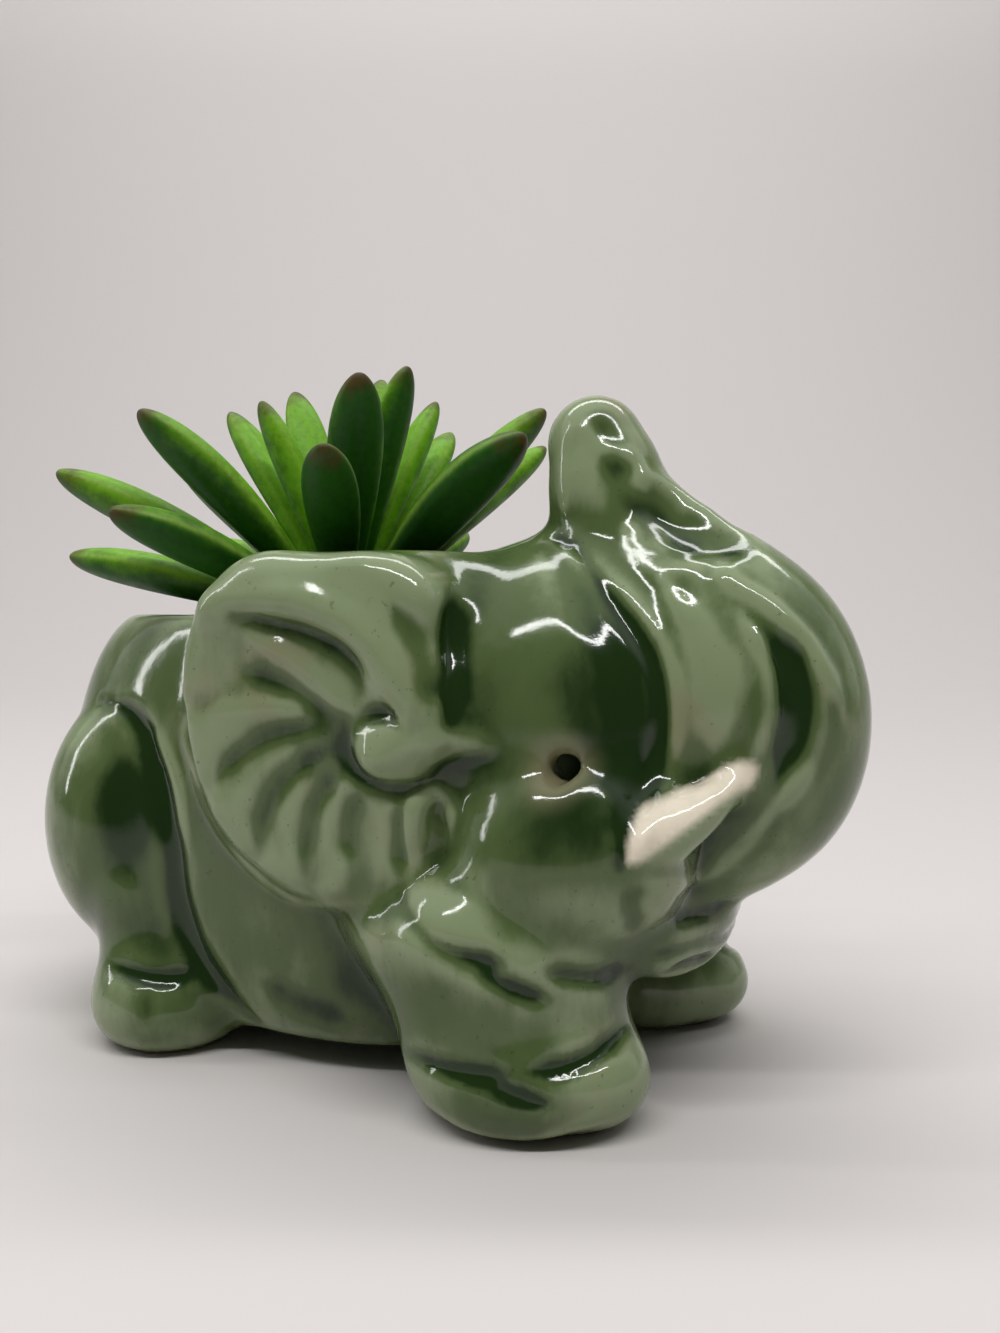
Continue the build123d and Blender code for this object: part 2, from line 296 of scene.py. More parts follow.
@dataclass
class Sculptor:
    """Works strokes, swells, glaze pools and painted shade into a mesh, on the photographed side and on the
    other one.

    Spacing is the step along a stroke's line, and jump is the longest gap between two of its knots. Spread
    is the share of a stroke's width to which it reaches on each side. Glaze_depth is the depth past which
    a stroke gathers no more glaze, and end_share is how much of its length each of its ends takes up.
    """

    piece: bpy.types.Object
    photographer: Photographer
    spacing: float = 0.6
    jump: float = 14.0
    spread: float = 0.92
    turned_away: float = -0.15
    least_reach: float = 0.35
    glaze_depth: float = 1.4
    end_share: float = 0.25

    def __post_init__(self) -> None:
        """Start with no glaze gathered anywhere, and with the clay's shape to cast on."""
        # glaze holds the glaze that the strokes gather and, from gather(), painted shade and painted
        # reflection.
        self.glaze = np.zeros(len(self.piece.data.vertices))
        self.tree = BVHTree.FromObject(self.piece, bpy.context.evaluated_depsgraph_get())

    def cast(self, path: tuple[tuple[float, float], ...]) -> tuple[list[Vector], list[Vector]]:
        """Find where a path of photograph pixels lies on the piece.

        Args:
            path: The pixels in order.

        Returns:
            The points and the surface's normals there. A pixel that misses the piece, or falls on a far
            part of it, is left out.
        """
        eye = self.photographer.place()
        points, normals = [], []
        for pixel in path:
            point, normal, _, _ = self.tree.ray_cast(eye, self.photographer.ray(pixel))
            if point is None:
                continue
            if points and (point - points[-1]).length > self.jump * MM:
                continue
            points.append(point)
            normals.append(normal)
        return points, normals

    def dense(self, knots: list[Vector]) -> np.ndarray:
        """Return a smooth line through the knots, as rows of points a spacing apart.

        Args:
            knots: The points that the line passes through, in metres.

        Returns:
            The line's points and, in a fourth column, the share of the way along it.
        """
        rows = []
        last = len(knots) - 1
        for index in range(last):
            before, start = knots[max(index - 1, 0)], knots[index]
            end, after = knots[index + 1], knots[min(index + 2, last)]
            steps = max(2, int((end - start).length / (self.spacing * MM)))
            for step in range(steps):
                share = step / steps
                square, cube = share * share, share ** 3
                point = 0.5 * (2 * start + (end - before) * share
                               + (2 * before - 5 * start + 4 * end - after) * square
                               + (3 * start - before - 3 * end + after) * cube)
                rows.append((*point, (index + share) / last))
        rows.append((*knots[-1], 1.0))
        return np.array(rows)

    def work(self, strokes: tuple[Stroke, ...]) -> None:
        """Work strokes into the piece, all cast on the shape as it was before the first.

        Args:
            strokes: The strokes, in the order in which they are worked.
        """
        for stroke in strokes:
            knots, normals = self.cast(stroke.path)
            if len(knots) < 2:
                log.warning("stroke %s misses the clay", stroke.name)
                continue
            facing = sum(normals, Vector()).normalized()
            line = self.dense(knots)
            self.push(stroke, line, facing)
            self.push(stroke, line * (1.0, -1.0, 1.0, 1.0), Vector((facing.x, -facing.y, facing.z)))

    def push(self, stroke: Stroke, line: np.ndarray, facing: Vector) -> None:
        """Move the vertices near one line along their normals.

        Args:
            stroke: The stroke's width, depth and form.
            line: The line as dense() gives it.
            facing: The mean direction that the surface faces under the line.
        """
        points = read_points(self.piece)
        normals = read_points(self.piece, "normal")
        half = stroke.width * self.spread * MM
        low, high = line[:, :3].min(0) - half, line[:, :3].max(0) + half
        near = np.all((points > low) & (points < high), axis=1)
        near &= normals @ np.array(facing) > self.turned_away
        rows = np.flatnonzero(near)
        if not len(rows):
            return
        gaps = np.linalg.norm(points[rows, None, :] - line[None, :, :3], axis=2)
        along = line[gaps.argmin(axis=1), 3]
        edge = np.clip(np.minimum(along, 1 - along) / self.end_share, 0, 1)
        strength = stroke.ends + (1 - stroke.ends) * edge * edge * (3 - 2 * edge)
        reach = np.clip(gaps.min(axis=1) / (half * np.maximum(strength, self.least_reach)), 0, 1)
        profile = strength * (1 - reach ** 2) ** 2
        points[rows] += normals[rows] * (stroke.tool.way * stroke.depth * MM * profile)[:, None]
        self.glaze[rows] += stroke.tool.glaze * min(stroke.depth, self.glaze_depth) * profile
        write_points(self.piece, points)

    def near(self, spot: Spot) -> list[np.ndarray]:
        """Return how near the vertices lie to a spot, on both sides.

        Args:
            spot: The place and its reach.

        Returns:
            For each side, one share from 0 to 1 for each vertex, or nothing where the pixel misses.
        """
        points, _ = self.cast((spot.pixel,))
        if not points:
            log.warning("spot %s misses the clay", spot.name)
            return []
        vertices = read_points(self.piece)
        shares = []
        for side in (1, -1):
            middle = np.array((points[0].x, points[0].y * side, points[0].z))
            gap = np.linalg.norm(vertices - middle, axis=1) / (spot.reach * MM)
            shares.append(np.clip(1 - gap * gap, 0, 1) ** 2)
        return shares

    def swell(self, spots: tuple[Spot, ...]) -> None:
        """Round the clay out or in.

        Args:
            spots: The swells, in the order in which they are made.
        """
        for spot in spots:
            for share in self.near(spot):
                points = read_points(self.piece)
                points += read_points(self.piece, "normal") * (share * spot.amount * MM)[:, None]
                write_points(self.piece, points)

    def gather(self, spots: tuple[Spot, ...]) -> None:
        """Make the glaze darker or paler: pooled or thin glaze at some spots, painted shade and painted
        reflection at others.

        Args:
            spots: The spots of pooled glaze and of painted shade and painted reflection.
        """
        for spot in spots:
            for share in self.near(spot):
                # Painted shade and painted reflection, laid in together with the glaze that pools or runs
                # thin.
                self.glaze += share * spot.amount


@dataclass(frozen=True)
class Mottle:
    """A noise over a piece, mapped smoothly from low and high on to to_low and to_high.

    Size is that of one lump in millimetres, detail is how many finer layers it has, and roughness is how
    strong those are. Stretch is how much finer it is along each axis.
    """

    size: float
    detail: float
    roughness: float
    low: float
    high: float
    to_low: float = 0.0
    to_high: float = 1.0
    stretch: tuple[float, float, float] = (1.0, 1.0, 1.0)


@dataclass(frozen=True)
class Ripple:
    """A noise that bends the light on a piece and leaves its surface where it is.

    Size, detail and roughness are a mottle's. Height is its full height in millimetres, and strength is
    how much of it shows.
    """

    size: float
    detail: float
    roughness: float
    height: float
    strength: float = 1.0


@dataclass
class NodeSheet:
    """The node tree of a material or the world, with short calls for the nodes that they share."""

    owner: bpy.types.Material | bpy.types.World

    @classmethod
    def named(cls, name: str) -> "NodeSheet":
        """Start a material with an empty tree but for its Principled shader and output.

        Args:
            name: The material's name.

        Returns:
            The sheet that finishes it.
        """
        material = bpy.data.materials.new(name)
        material.use_nodes = True
        return cls(material)

    @property
    def shader(self) -> bpy.types.Node:
        """Return the Principled shader."""
        return self.owner.node_tree.nodes["Principled BSDF"]

    def add(self, kind: str, **settings: object) -> bpy.types.Node:
        """Add a node and set its properties.

        Args:
            kind: The node's type name without its ShaderNode start.
            settings: The node's properties by name.

        Returns:
            The new node.
        """
        node = self.owner.node_tree.nodes.new("ShaderNode" + kind)
        for name, value in settings.items():
            setattr(node, name, value)
        return node

    def link(self, source: bpy.types.NodeSocket, target: bpy.types.NodeSocket) -> None:
        """Join two sockets."""
        self.owner.node_tree.links.new(source, target)

    def attribute(self, name: str) -> bpy.types.NodeSocket:
        """Return the number that the mesh stores under a name."""
        return self.add("Attribute", attribute_name=name).outputs["Fac"]

    def noise(self, size: float, detail: float, roughness: float,
              stretch: tuple[float, float, float] = (1.0, 1.0, 1.0)) -> bpy.types.NodeSocket:
        """Return a noise over the piece.

        Args:
            size: The size of one lump in millimetres.
            detail: How many finer layers it has.
            roughness: How strong the finer layers are.
            stretch: How much finer it is along each axis.

        Returns:
            The noise, from 0 to 1.
        """
        mapping = self.add("Mapping")
        mapping.inputs["Scale"].default_value = stretch
        self.link(self.add("TexCoord").outputs["Object"], mapping.inputs["Vector"])
        node = self.add("TexNoise")
        node.inputs["Scale"].default_value = 1 / (size * MM)
        node.inputs["Detail"].default_value = detail
        node.inputs["Roughness"].default_value = roughness
        self.link(mapping.outputs["Vector"], node.inputs["Vector"])
        return node.outputs["Fac"]

    def span(self, source: bpy.types.NodeSocket, low: float, high: float, to_low: float = 0.0,
             to_high: float = 1.0) -> bpy.types.NodeSocket:
        """Map a range of a value smoothly on to another range.

        Args:
            source: The value.
            low: The value that gives to_low.
            high: The value that gives to_high.
            to_low: The result at low.
            to_high: The result at high.

        Returns:
            The mapped value.
        """
        node = self.add("MapRange", interpolation_type="SMOOTHSTEP")
        self.link(source, node.inputs["Value"])
        for name, value in (("From Min", low), ("From Max", high), ("To Min", to_low), ("To Max", to_high)):
            node.inputs[name].default_value = value
        return node.outputs["Result"]

    def mottle(self, kind: Mottle) -> bpy.types.NodeSocket:
        """Return a mottle's value over the piece."""
        noise = self.noise(kind.size, kind.detail, kind.roughness, kind.stretch)
        return self.span(noise, kind.low, kind.high, kind.to_low, kind.to_high)

    def math(self, operation: str, first: bpy.types.NodeSocket,
             second: bpy.types.NodeSocket | float) -> bpy.types.NodeSocket:
        """Return the result of one sum on two values.

        Args:
            operation: Blender's name for the sum, such as ADD.
            first: The first value.
            second: The second value or a number.

        Returns:
            The result.
        """
        node = self.add("Math", operation=operation)
        self.link(first, node.inputs[0])
        if isinstance(second, float):
            node.inputs[1].default_value = second
        else:
            self.link(second, node.inputs[1])
        return node.outputs[0]

    def blend(self, share: bpy.types.NodeSocket, first: object, second: object) -> bpy.types.NodeSocket:
        """Mix two colours.

        Args:
            share: How much of the second colour there is.
            first: A colour's three numbers, or a socket.
            second: A colour's three numbers, or a socket.

        Returns:
            The mixed colour.
        """
        node = self.add("Mix", data_type="RGBA")
        self.link(share, node.inputs["Factor"])
        for index, colour in zip(MIX_COLOURS, (first, second)):
            if isinstance(colour, bpy.types.NodeSocket):
                self.link(colour, node.inputs[index])
            else:
                node.inputs[index].default_value = (*colour, 1.0)
        return node.outputs[MIX_RESULT]

    def bump(self, height: bpy.types.NodeSocket, distance: float, strength: float = 1.0,
             under: bpy.types.NodeSocket | None = None) -> bpy.types.NodeSocket:
        """Return a normal bent by a height.

        Args:
            height: The height, from 0 to 1.
            distance: The height's full size in millimetres.
            strength: How much of it shows.
            under: A bent normal that this one is laid over.

        Returns:
            The normal.
        """
        node = self.add("Bump")
        node.inputs["Distance"].default_value = distance * MM
        node.inputs["Strength"].default_value = strength
        self.link(height, node.inputs["Height"])
        if under is not None:
            self.link(under, node.inputs["Normal"])
        return node.outputs["Normal"]

    def ripple(self, *ripples: Ripple) -> None:
        """Bend the light on the whole piece.

        Args:
            ripples: The ripples, each laid over the one before it.
        """
        normal = None
        for kind in ripples:
            noise = self.noise(kind.size, kind.detail, kind.roughness)
            normal = self.bump(noise, kind.height, kind.strength, normal)
        self.link(normal, self.shader.inputs["Normal"])


@dataclass(frozen=True)
class CeladonGlaze:
    """Thick glossy green glaze: pale and thin over the ridges, dark where it pools, darker or paler where
    shade and reflection are painted, ivory on the tusks.
    """

    ridge: tuple[float, float, float] = (0.232, 0.290, 0.158)
    field: tuple[float, float, float] = (0.082, 0.122, 0.042)
    # The dark of pooled glaze, which is also the colour of painted shade.
    pool_and_painted_shading: tuple[float, float, float] = (0.012, 0.031, 0.006)
    thin: tuple[float, float, float] = (0.250, 0.225, 0.130)
    ivory: tuple[float, float, float] = (0.86, 0.77, 0.62)
    clay: tuple[float, float, float] = (0.36, 0.25, 0.17)
    dark_clay: tuple[float, float, float] = (0.25, 0.17, 0.11)
    ridge_to_field: tuple[float, float] = (-0.75, 0.05)
    field_to_pool: tuple[float, float] = (0.05, 0.95)
    field_to_bare: tuple[float, float] = (0.15, -0.7)
    drift: Mottle = Mottle(26, 2, 0.5, 0.3, 0.7, -0.22, 0.22)
    flow: Mottle = Mottle(7, 4, 0.6, 0.3, 0.7, -0.16, 0.16, (1, 1, 0.45))
    bare_patches: Mottle = Mottle(17, 3, 0.55, 0.54, 0.74, 0.0, 0.55)
    specks: Mottle = Mottle(1.1, 2, 0.6, 0.66, 0.74, 0.0, 0.35)
    tusk_wear: Mottle = Mottle(5, 3, 0.6, 0.35, 0.75, 0.0, 0.15)
    clay_grain: Mottle = Mottle(0.7, 4, 0.7, 0.3, 0.7, 0.75, 1.15)
    gloss: Mottle = Mottle(9, 3, 0.6, 0.3, 0.8, 0.07, 0.14)
    sole_roughness: float = 0.7
    waves: Ripple = Ripple(9, 1.5, 0.4, 0.14)
    peel: Ripple = Ripple(2.2, 2, 0.5, 0.02)
    pits: Ripple = Ripple(0.5, 2, 0.6, 0.015, 0.5)
    bending: float = 1.45

    def make(self) -> bpy.types.Material:
        """Build the material.

        Returns:
            The material, which reads the casting's attributes pool, tusk, sole and eye.
        """
        sheet = NodeSheet.named("celadon_glaze")
        shader = sheet.shader
        uneven = sheet.math("ADD", sheet.mottle(self.drift), sheet.mottle(self.flow))
        # The attribute carries pooled and thin glaze and the painted shade and painted reflection of the
        # spots.
        depth = sheet.math("ADD", sheet.attribute("pool_and_painted_shading"), uneven)
        colour = sheet.blend(sheet.span(depth, *self.ridge_to_field), self.ridge, self.field)
        colour = sheet.blend(sheet.span(depth, *self.field_to_pool), colour, self.pool_and_painted_shading)
        bare = sheet.math("MULTIPLY", sheet.mottle(self.bare_patches), sheet.span(depth, *self.field_to_bare))
        colour = sheet.blend(bare, colour, self.thin)
        colour = sheet.blend(sheet.mottle(self.specks), colour, self.pool_and_painted_shading)
        ivory = sheet.blend(sheet.mottle(self.tusk_wear), self.ivory, self.thin)
        colour = sheet.blend(sheet.attribute("tusk"), colour, ivory)
        colour = sheet.blend(sheet.attribute("eye"), colour, self.thin)
        sole = sheet.attribute("sole")
        clay = sheet.blend(sheet.mottle(self.clay_grain), self.dark_clay, self.clay)
        colour = sheet.blend(sole, colour, clay)
        sheet.link(colour, shader.inputs["Base Color"])
        rough = sheet.math("ADD", sheet.mottle(self.gloss), sheet.math("MULTIPLY", sole, self.sole_roughness))
        sheet.link(rough, shader.inputs["Roughness"])
        sheet.ripple(self.waves, self.peel, self.pits)
        shader.inputs["IOR"].default_value = self.bending
        return sheet.owner


@dataclass(frozen=True)
class LeafSkin:
    """Satin moulded leaf: deep green sides in painted shade, an upper face painted lighter as lit from above,
    a brown-red tip and a fine pale line along the upper edges.
    """

    # deep and upper are the colours of the painted shade on the lower sides and the painted light on the
    # upper face.
    deep: tuple[float, float, float] = (0.012, 0.085, 0.002)
    upper: tuple[float, float, float] = (0.165, 0.400, 0.010)
    tip: tuple[float, float, float] = (0.075, 0.034, 0.010)
    line: tuple[float, float, float] = (0.26, 0.45, 0.05)
    deep_to_upper: tuple[float, float] = (0.05, 0.85)
    line_share: float = 0.6
    flush: tuple[float, float, float, float] = (0.87, 1.02, 0.0, 0.85)
    flush_drift: float = 0.35
    mottle: Mottle = Mottle(5, 4, 0.6, 0.25, 0.75, -0.16, 0.16)
    fine: Mottle = Mottle(1.3, 3, 0.6, 0.3, 0.7, 0.8, 1.12)
    gloss: Mottle = Mottle(3, 3, 0.6, 0.3, 0.7, 0.38, 0.52)
    skin: Ripple = Ripple(0.45, 3, 0.6, 0.03, 0.7)
    lumps: Ripple = Ripple(4, 2, 0.5, 0.12)
    glow: float = 0.12
    glow_colour: tuple[float, float, float] = (0.3, 1.0, 0.15)
    glow_reach: float = 0.0012
    shine: float = 0.22

    def make(self) -> bpy.types.Material:
        """Build the material.

        Returns:
            The material, which reads the leaves' attributes along, face, rim and shade.
        """
        sheet = NodeSheet.named("leaf_skin")
        shader = sheet.shader
        mottle = sheet.mottle(self.mottle)
        # face and each leaf's shade value paint light and shade: lighter towards the upper face and on the
        # leaves set lighter.
        light = sheet.math("ADD", sheet.attribute("face"), mottle)
        light = sheet.math("ADD", light, sheet.attribute("shade"))
        colour = sheet.blend(sheet.span(light, *self.deep_to_upper), self.deep, self.upper)
        line = sheet.math("MULTIPLY", sheet.attribute("rim"), self.line_share)
        colour = sheet.blend(line, colour, self.line)
        flushed = sheet.math("MULTIPLY", mottle, self.flush_drift)
        flushed = sheet.math("ADD", sheet.attribute("along"), flushed)
        colour = sheet.blend(sheet.span(flushed, *self.flush), colour, self.tip)
        colour = sheet.blend(sheet.mottle(self.fine), (0.0, 0.0, 0.0), colour)
        sheet.link(colour, shader.inputs["Base Color"])
        sheet.link(sheet.mottle(self.gloss), shader.inputs["Roughness"])
        sheet.ripple(self.skin, self.lumps)
        shader.inputs["Subsurface Weight"].default_value = self.glow
        shader.inputs["Subsurface Radius"].default_value = self.glow_colour
        shader.inputs["Subsurface Scale"].default_value = self.glow_reach
        shader.inputs["Specular IOR Level"].default_value = self.shine
        return sheet.owner


@dataclass(frozen=True)
class StemFinish:
    """Matt moulded plastic of the plant's core and stem."""

    dark: tuple[float, float, float] = (0.020, 0.050, 0.010)
    light: tuple[float, float, float] = (0.060, 0.120, 0.025)
    mottle: Mottle = Mottle(3, 4, 0.6, 0.3, 0.7)
    grain: Ripple = Ripple(0.8, 3, 0.6, 0.08)
    roughness: float = 0.62

    def make(self) -> bpy.types.Material:
        """Build the material.

        Returns:
            The material.
        """
        sheet = NodeSheet.named("stem_finish")
        colour = sheet.blend(sheet.mottle(self.mottle), self.dark, self.light)
        sheet.link(colour, sheet.shader.inputs["Base Color"])
        sheet.shader.inputs["Roughness"].default_value = self.roughness
        sheet.ripple(self.grain)
        return sheet.owner


@dataclass(frozen=True)
class FoamFinish:
    """Dry open-celled foam, dusty green with dark pores."""

    body: tuple[float, float, float] = (0.085, 0.120, 0.050)
    pore: tuple[float, float, float] = (0.018, 0.028, 0.012)
    dust: tuple[float, float, float] = (0.16, 0.19, 0.10)
    pores: Mottle = Mottle(0.9, 3, 0.7, 0.42, 0.6)
    dusting: Mottle = Mottle(6, 4, 0.6, 0.35, 0.75, 0.0, 0.5)
    pore_depth: float = 0.5
    roughness: float = 0.95

    def make(self) -> bpy.types.Material:
        """Build the material.

        Returns:
            The material.
        """
        sheet = NodeSheet.named("foam_finish")
        pores = sheet.mottle(self.pores)
        colour = sheet.blend(pores, self.pore, self.body)
        colour = sheet.blend(sheet.mottle(self.dusting), colour, self.dust)
        sheet.link(colour, sheet.shader.inputs["Base Color"])
        sheet.shader.inputs["Roughness"].default_value = self.roughness
        sheet.link(sheet.bump(pores, self.pore_depth), sheet.shader.inputs["Normal"])
        return sheet.owner


STROKES = (
    Stroke("band_underside", Tool.GOUGE, 3.8, 1.35, 0.3,
           ((230, 617), (258, 621), (288, 628), (317, 637), (341, 652), (355, 670), (362, 694))),
    Stroke("band_back", Tool.COIL, 4.4, 1.2, 0.4,
           ((226, 600), (262, 602), (300, 606), (344, 626), (376, 660), (394, 698), (397, 726))),
    Stroke("beside_band", Tool.GOUGE, 4.4, 0.9, 0.2,
           ((388, 598), (412, 636), (427, 672), (432, 712))),
    Stroke("second_ridge", Tool.COIL, 2.4, 1.1, 0.4,
           ((252, 638), (290, 657), (327, 688), (356, 713))),
    Stroke("second_ridge_foot", Tool.GOUGE, 3.8, 0.75, 0.2,
           ((238, 670), (270, 680), (302, 700), (334, 722))),
    Stroke("flat_between", Tool.COIL, 4.0, 0.6, 0.3,
           ((205, 716), (240, 708), (280, 706), (312, 712))),
    Stroke("scroll_pit", Tool.GOUGE, 2.6, 1.7, 0.5,
           ((364, 720), (375, 714), (388, 716), (396, 728))),
    Stroke("scroll_bulb", Tool.COIL, 5.0, 1.2, 0.8,
           ((384, 744), (378, 756), (370, 750), (374, 742))),
    Stroke("scroll_border", Tool.GOUGE, 2.8, 1.3, 0.3,
           ((346, 724), (343, 747), (351, 769), (369, 784), (394, 791), (416, 788), (438, 774))),
    Stroke("lobe", Tool.COIL, 4.0, 0.9, 0.5,
           ((412, 752), (436, 747), (462, 743), (490, 746))),
    Stroke("lobe_underside", Tool.GOUGE, 1.8, 0.5, 0.3,
           ((432, 774), (450, 765), (470, 761), (490, 759))),
    Stroke("flute_1", Tool.GOUGE, 3.7, 0.9, 0.3,
           ((326, 727), (298, 728), (271, 736), (246, 748), (225, 765), (213, 784))),
    Stroke("flute_2", Tool.GOUGE, 4.0, 0.95, 0.3,
           ((330, 748), (308, 760), (287, 776), (270, 797), (259, 826), (257, 858))),
    Stroke("flute_3", Tool.GOUGE, 3.5, 0.85, 0.3,
           ((342, 770), (326, 786), (313, 808), (306, 836), (304, 870))),
    Stroke("flute_4", Tool.GOUGE, 3.3, 0.75, 0.3,
           ((362, 789), (352, 810), (347, 834), (349, 864))),
    Stroke("flute_5", Tool.GOUGE, 3.1, 0.9, 0.3,
           ((402, 798), (399, 822), (399, 850), (403, 876))),
    Stroke("ear_rim", Tool.COIL, 2.2, 0.45, 0.6,
           ((198, 618), (189, 650), (185, 690), (186, 728), (194, 768), (210, 812), (233, 848),
            (265, 880), (302, 901), (340, 905), (373, 901), (394, 890))),
    Stroke("ear_front_groove", Tool.GOUGE, 4.2, 1.2, 0.5,
           ((452, 596), (453, 631), (453, 678), (450, 722))),
    Stroke("cheek_roll", Tool.COIL, 2.4, 1.2, 0.45,
           ((413, 862), (412, 828), (418, 804), (433, 793), (447, 799), (453, 818), (452, 842))),
    Stroke("cheek_border", Tool.GOUGE, 2.8, 2.1, 0.4,
           ((402, 888), (411, 914), (430, 938), (457, 955), (490, 964), (512, 967))),
    Stroke("cheek_shadow", Tool.GOUGE, 7.5, 1.1, 0.3,
           ((546, 548), (580, 586), (612, 625), (632, 664), (641, 706), (640, 750), (628, 792),
            (616, 822))),
    Stroke("head_and_trunk", Tool.GOUGE, 3.0, 1.4, 0.45,
           ((572, 542), (602, 582), (634, 624), (655, 660), (664, 704), (660, 750), (646, 784),
            (634, 816), (626, 846), (620, 868))),
    Stroke("trunk_inner_edge", Tool.COIL, 2.0, 0.7, 0.4,
           ((622, 588), (650, 629), (669, 671), (675, 714), (671, 752), (656, 784))),
    Stroke("trunk_column", Tool.COIL, 4.6, 0.7, 0.3,
           ((664, 584), (697, 628), (710, 672), (713, 716), (716, 756))),
    Stroke("forehead_fold", Tool.GOUGE, 2.0, 0.8, 0.3,
           ((534, 529), (553, 535), (572, 546))),
    Stroke("tip_hollows", Tool.GOUGE, 4.6, 0.45, 0.4,
           ((602, 420), (607, 440), (613, 464), (619, 486), (627, 506))),
    Stroke("crest_hollow_1", Tool.GOUGE, 3.2, 0.12, 0.8,
           ((668, 533), (682, 536), (700, 542))),
    Stroke("crest_hollow_2", Tool.GOUGE, 3.2, 0.12, 0.8,
           ((730, 542), (741, 549), (752, 560))),
    Stroke("tip_ridge", Tool.COIL, 2.6, 0.5, 0.6,
           ((583, 428), (600, 445), (617, 452), (634, 457), (643, 470), (646, 486), (656, 502))),
    Stroke("crest_step", Tool.COIL, 3.0, 0.4, 0.5,
           ((652, 508), (638, 516), (629, 534), (634, 554), (658, 571), (688, 564), (710, 553),
            (721, 538))),
    Stroke("column_top", Tool.COIL, 2.2, 0.4, 0.4,
           ((658, 572), (668, 590), (682, 610), (694, 630))),
    Stroke("tip_left_edge", Tool.COIL, 2.0, 0.5, 0.3,
           ((575, 424), (562, 450), (562, 493), (566, 522))),
    Stroke("crest_ridge", Tool.COIL, 2.8, 0.8, 0.4,
           ((719, 548), (728, 578), (770, 606), (805, 640), (830, 680), (845, 724))),
    Stroke("trunk_fold_1", Tool.COIL, 2.8, 1.0, 0.3,
           ((736, 610), (758, 638), (771, 668), (773, 706), (764, 740), (744, 770))),
    Stroke("trunk_dark_fold", Tool.GOUGE, 5.0, 1.5, 0.3,
           ((752, 622), (784, 656), (799, 702), (794, 746), (774, 786))),
    Stroke("trunk_fold_2", Tool.COIL, 3.0, 0.7, 0.3,
           ((808, 640), (819, 684), (815, 736), (795, 784), (760, 826))),
    Stroke("hem_fold", Tool.COIL, 2.4, 0.6, 0.4,
           ((772, 806), (754, 832), (730, 856), (700, 876), (668, 886), (646, 880))),
    Stroke("chin_groove", Tool.GOUGE, 2.4, 0.8, 0.4,
           ((670, 918), (690, 917), (714, 910), (736, 901))),
    Stroke("chin_edge", Tool.GOUGE, 2.4, 0.8, 0.4,
           ((650, 955), (676, 953), (704, 944), (734, 930))),
    Stroke("mouth_corner", Tool.GOUGE, 3.0, 0.7, 0.3,
           ((636, 888), (632, 908), (638, 932))),
    Stroke("hip", Tool.GOUGE, 4.4, 1.6, 0.35,
           ((100, 699), (127, 712), (146, 740), (160, 781), (172, 836), (179, 899), (197, 954),
            (230, 996), (258, 1022))),
    Stroke("belly_edge", Tool.COIL, 3.2, 0.8, 0.3,
           ((146, 726), (175, 779), (187, 850), (206, 932), (246, 996), (312, 1040), (372, 1052))),
    Stroke("belly_hollow", Tool.GOUGE, 5.0, 0.7, 0.3,
           ((262, 984), (302, 1006), (350, 1022))),
    Stroke("rear_ankle", Tool.GOUGE, 2.6, 1.1, 0.4,
           ((108, 964), (136, 975), (166, 979), (198, 972))),
    Stroke("rear_toe", Tool.GOUGE, 2.0, 0.5, 0.3,
           ((147, 990), (147, 1024))),
    Stroke("leg_slot", Tool.GOUGE, 1.8, 1.6, 0.3,
           ((472, 971), (500, 984), (528, 995), (552, 1001))),
    Stroke("under_cheek", Tool.GOUGE, 2.6, 1.1, 0.35,
           ((538, 969), (572, 976), (604, 977), (630, 969))),
    Stroke("front_ankle", Tool.GOUGE, 2.2, 1.3, 0.35,
           ((404, 1052), (426, 1063), (454, 1072), (484, 1077), (512, 1073))),
    Stroke("front_ankle_near", Tool.GOUGE, 2.4, 1.4, 0.35,
           ((526, 1073), (559, 1070), (591, 1058), (614, 1040), (630, 1020))),
    Stroke("foot_slot", Tool.GOUGE, 1.6, 1.3, 0.3,
           ((480, 1085), (506, 1094), (531, 1102), (552, 1107))),
    Stroke("foot_edge", Tool.COIL, 2.6, 0.5, 0.4,
           ((408, 1078), (432, 1106), (464, 1126), (522, 1137), (582, 1123), (626, 1092))),
    Stroke("far_ankle", Tool.GOUGE, 2.8, 1.5, 0.4,
           ((668, 973), (690, 966), (714, 956), (740, 942))),
)

SWELLS = (
    Spot("lower_cheek", (520, 905), 16.0, 1.2),
    Spot("thigh", (118, 850), 20.0, 1.0),
    Spot("notch_below_tip", (668, 508), 8.0, -3.7),
    Spot("crest_dip", (708, 532), 9.0, -3.1),
    Spot("cheek_foot", (446, 912), 11.0, 2.4),
    Spot("cheek_side", (425, 893), 7.0, 0.8),
    Spot("front_toe", (736, 988), 12.0, 2.0),
)
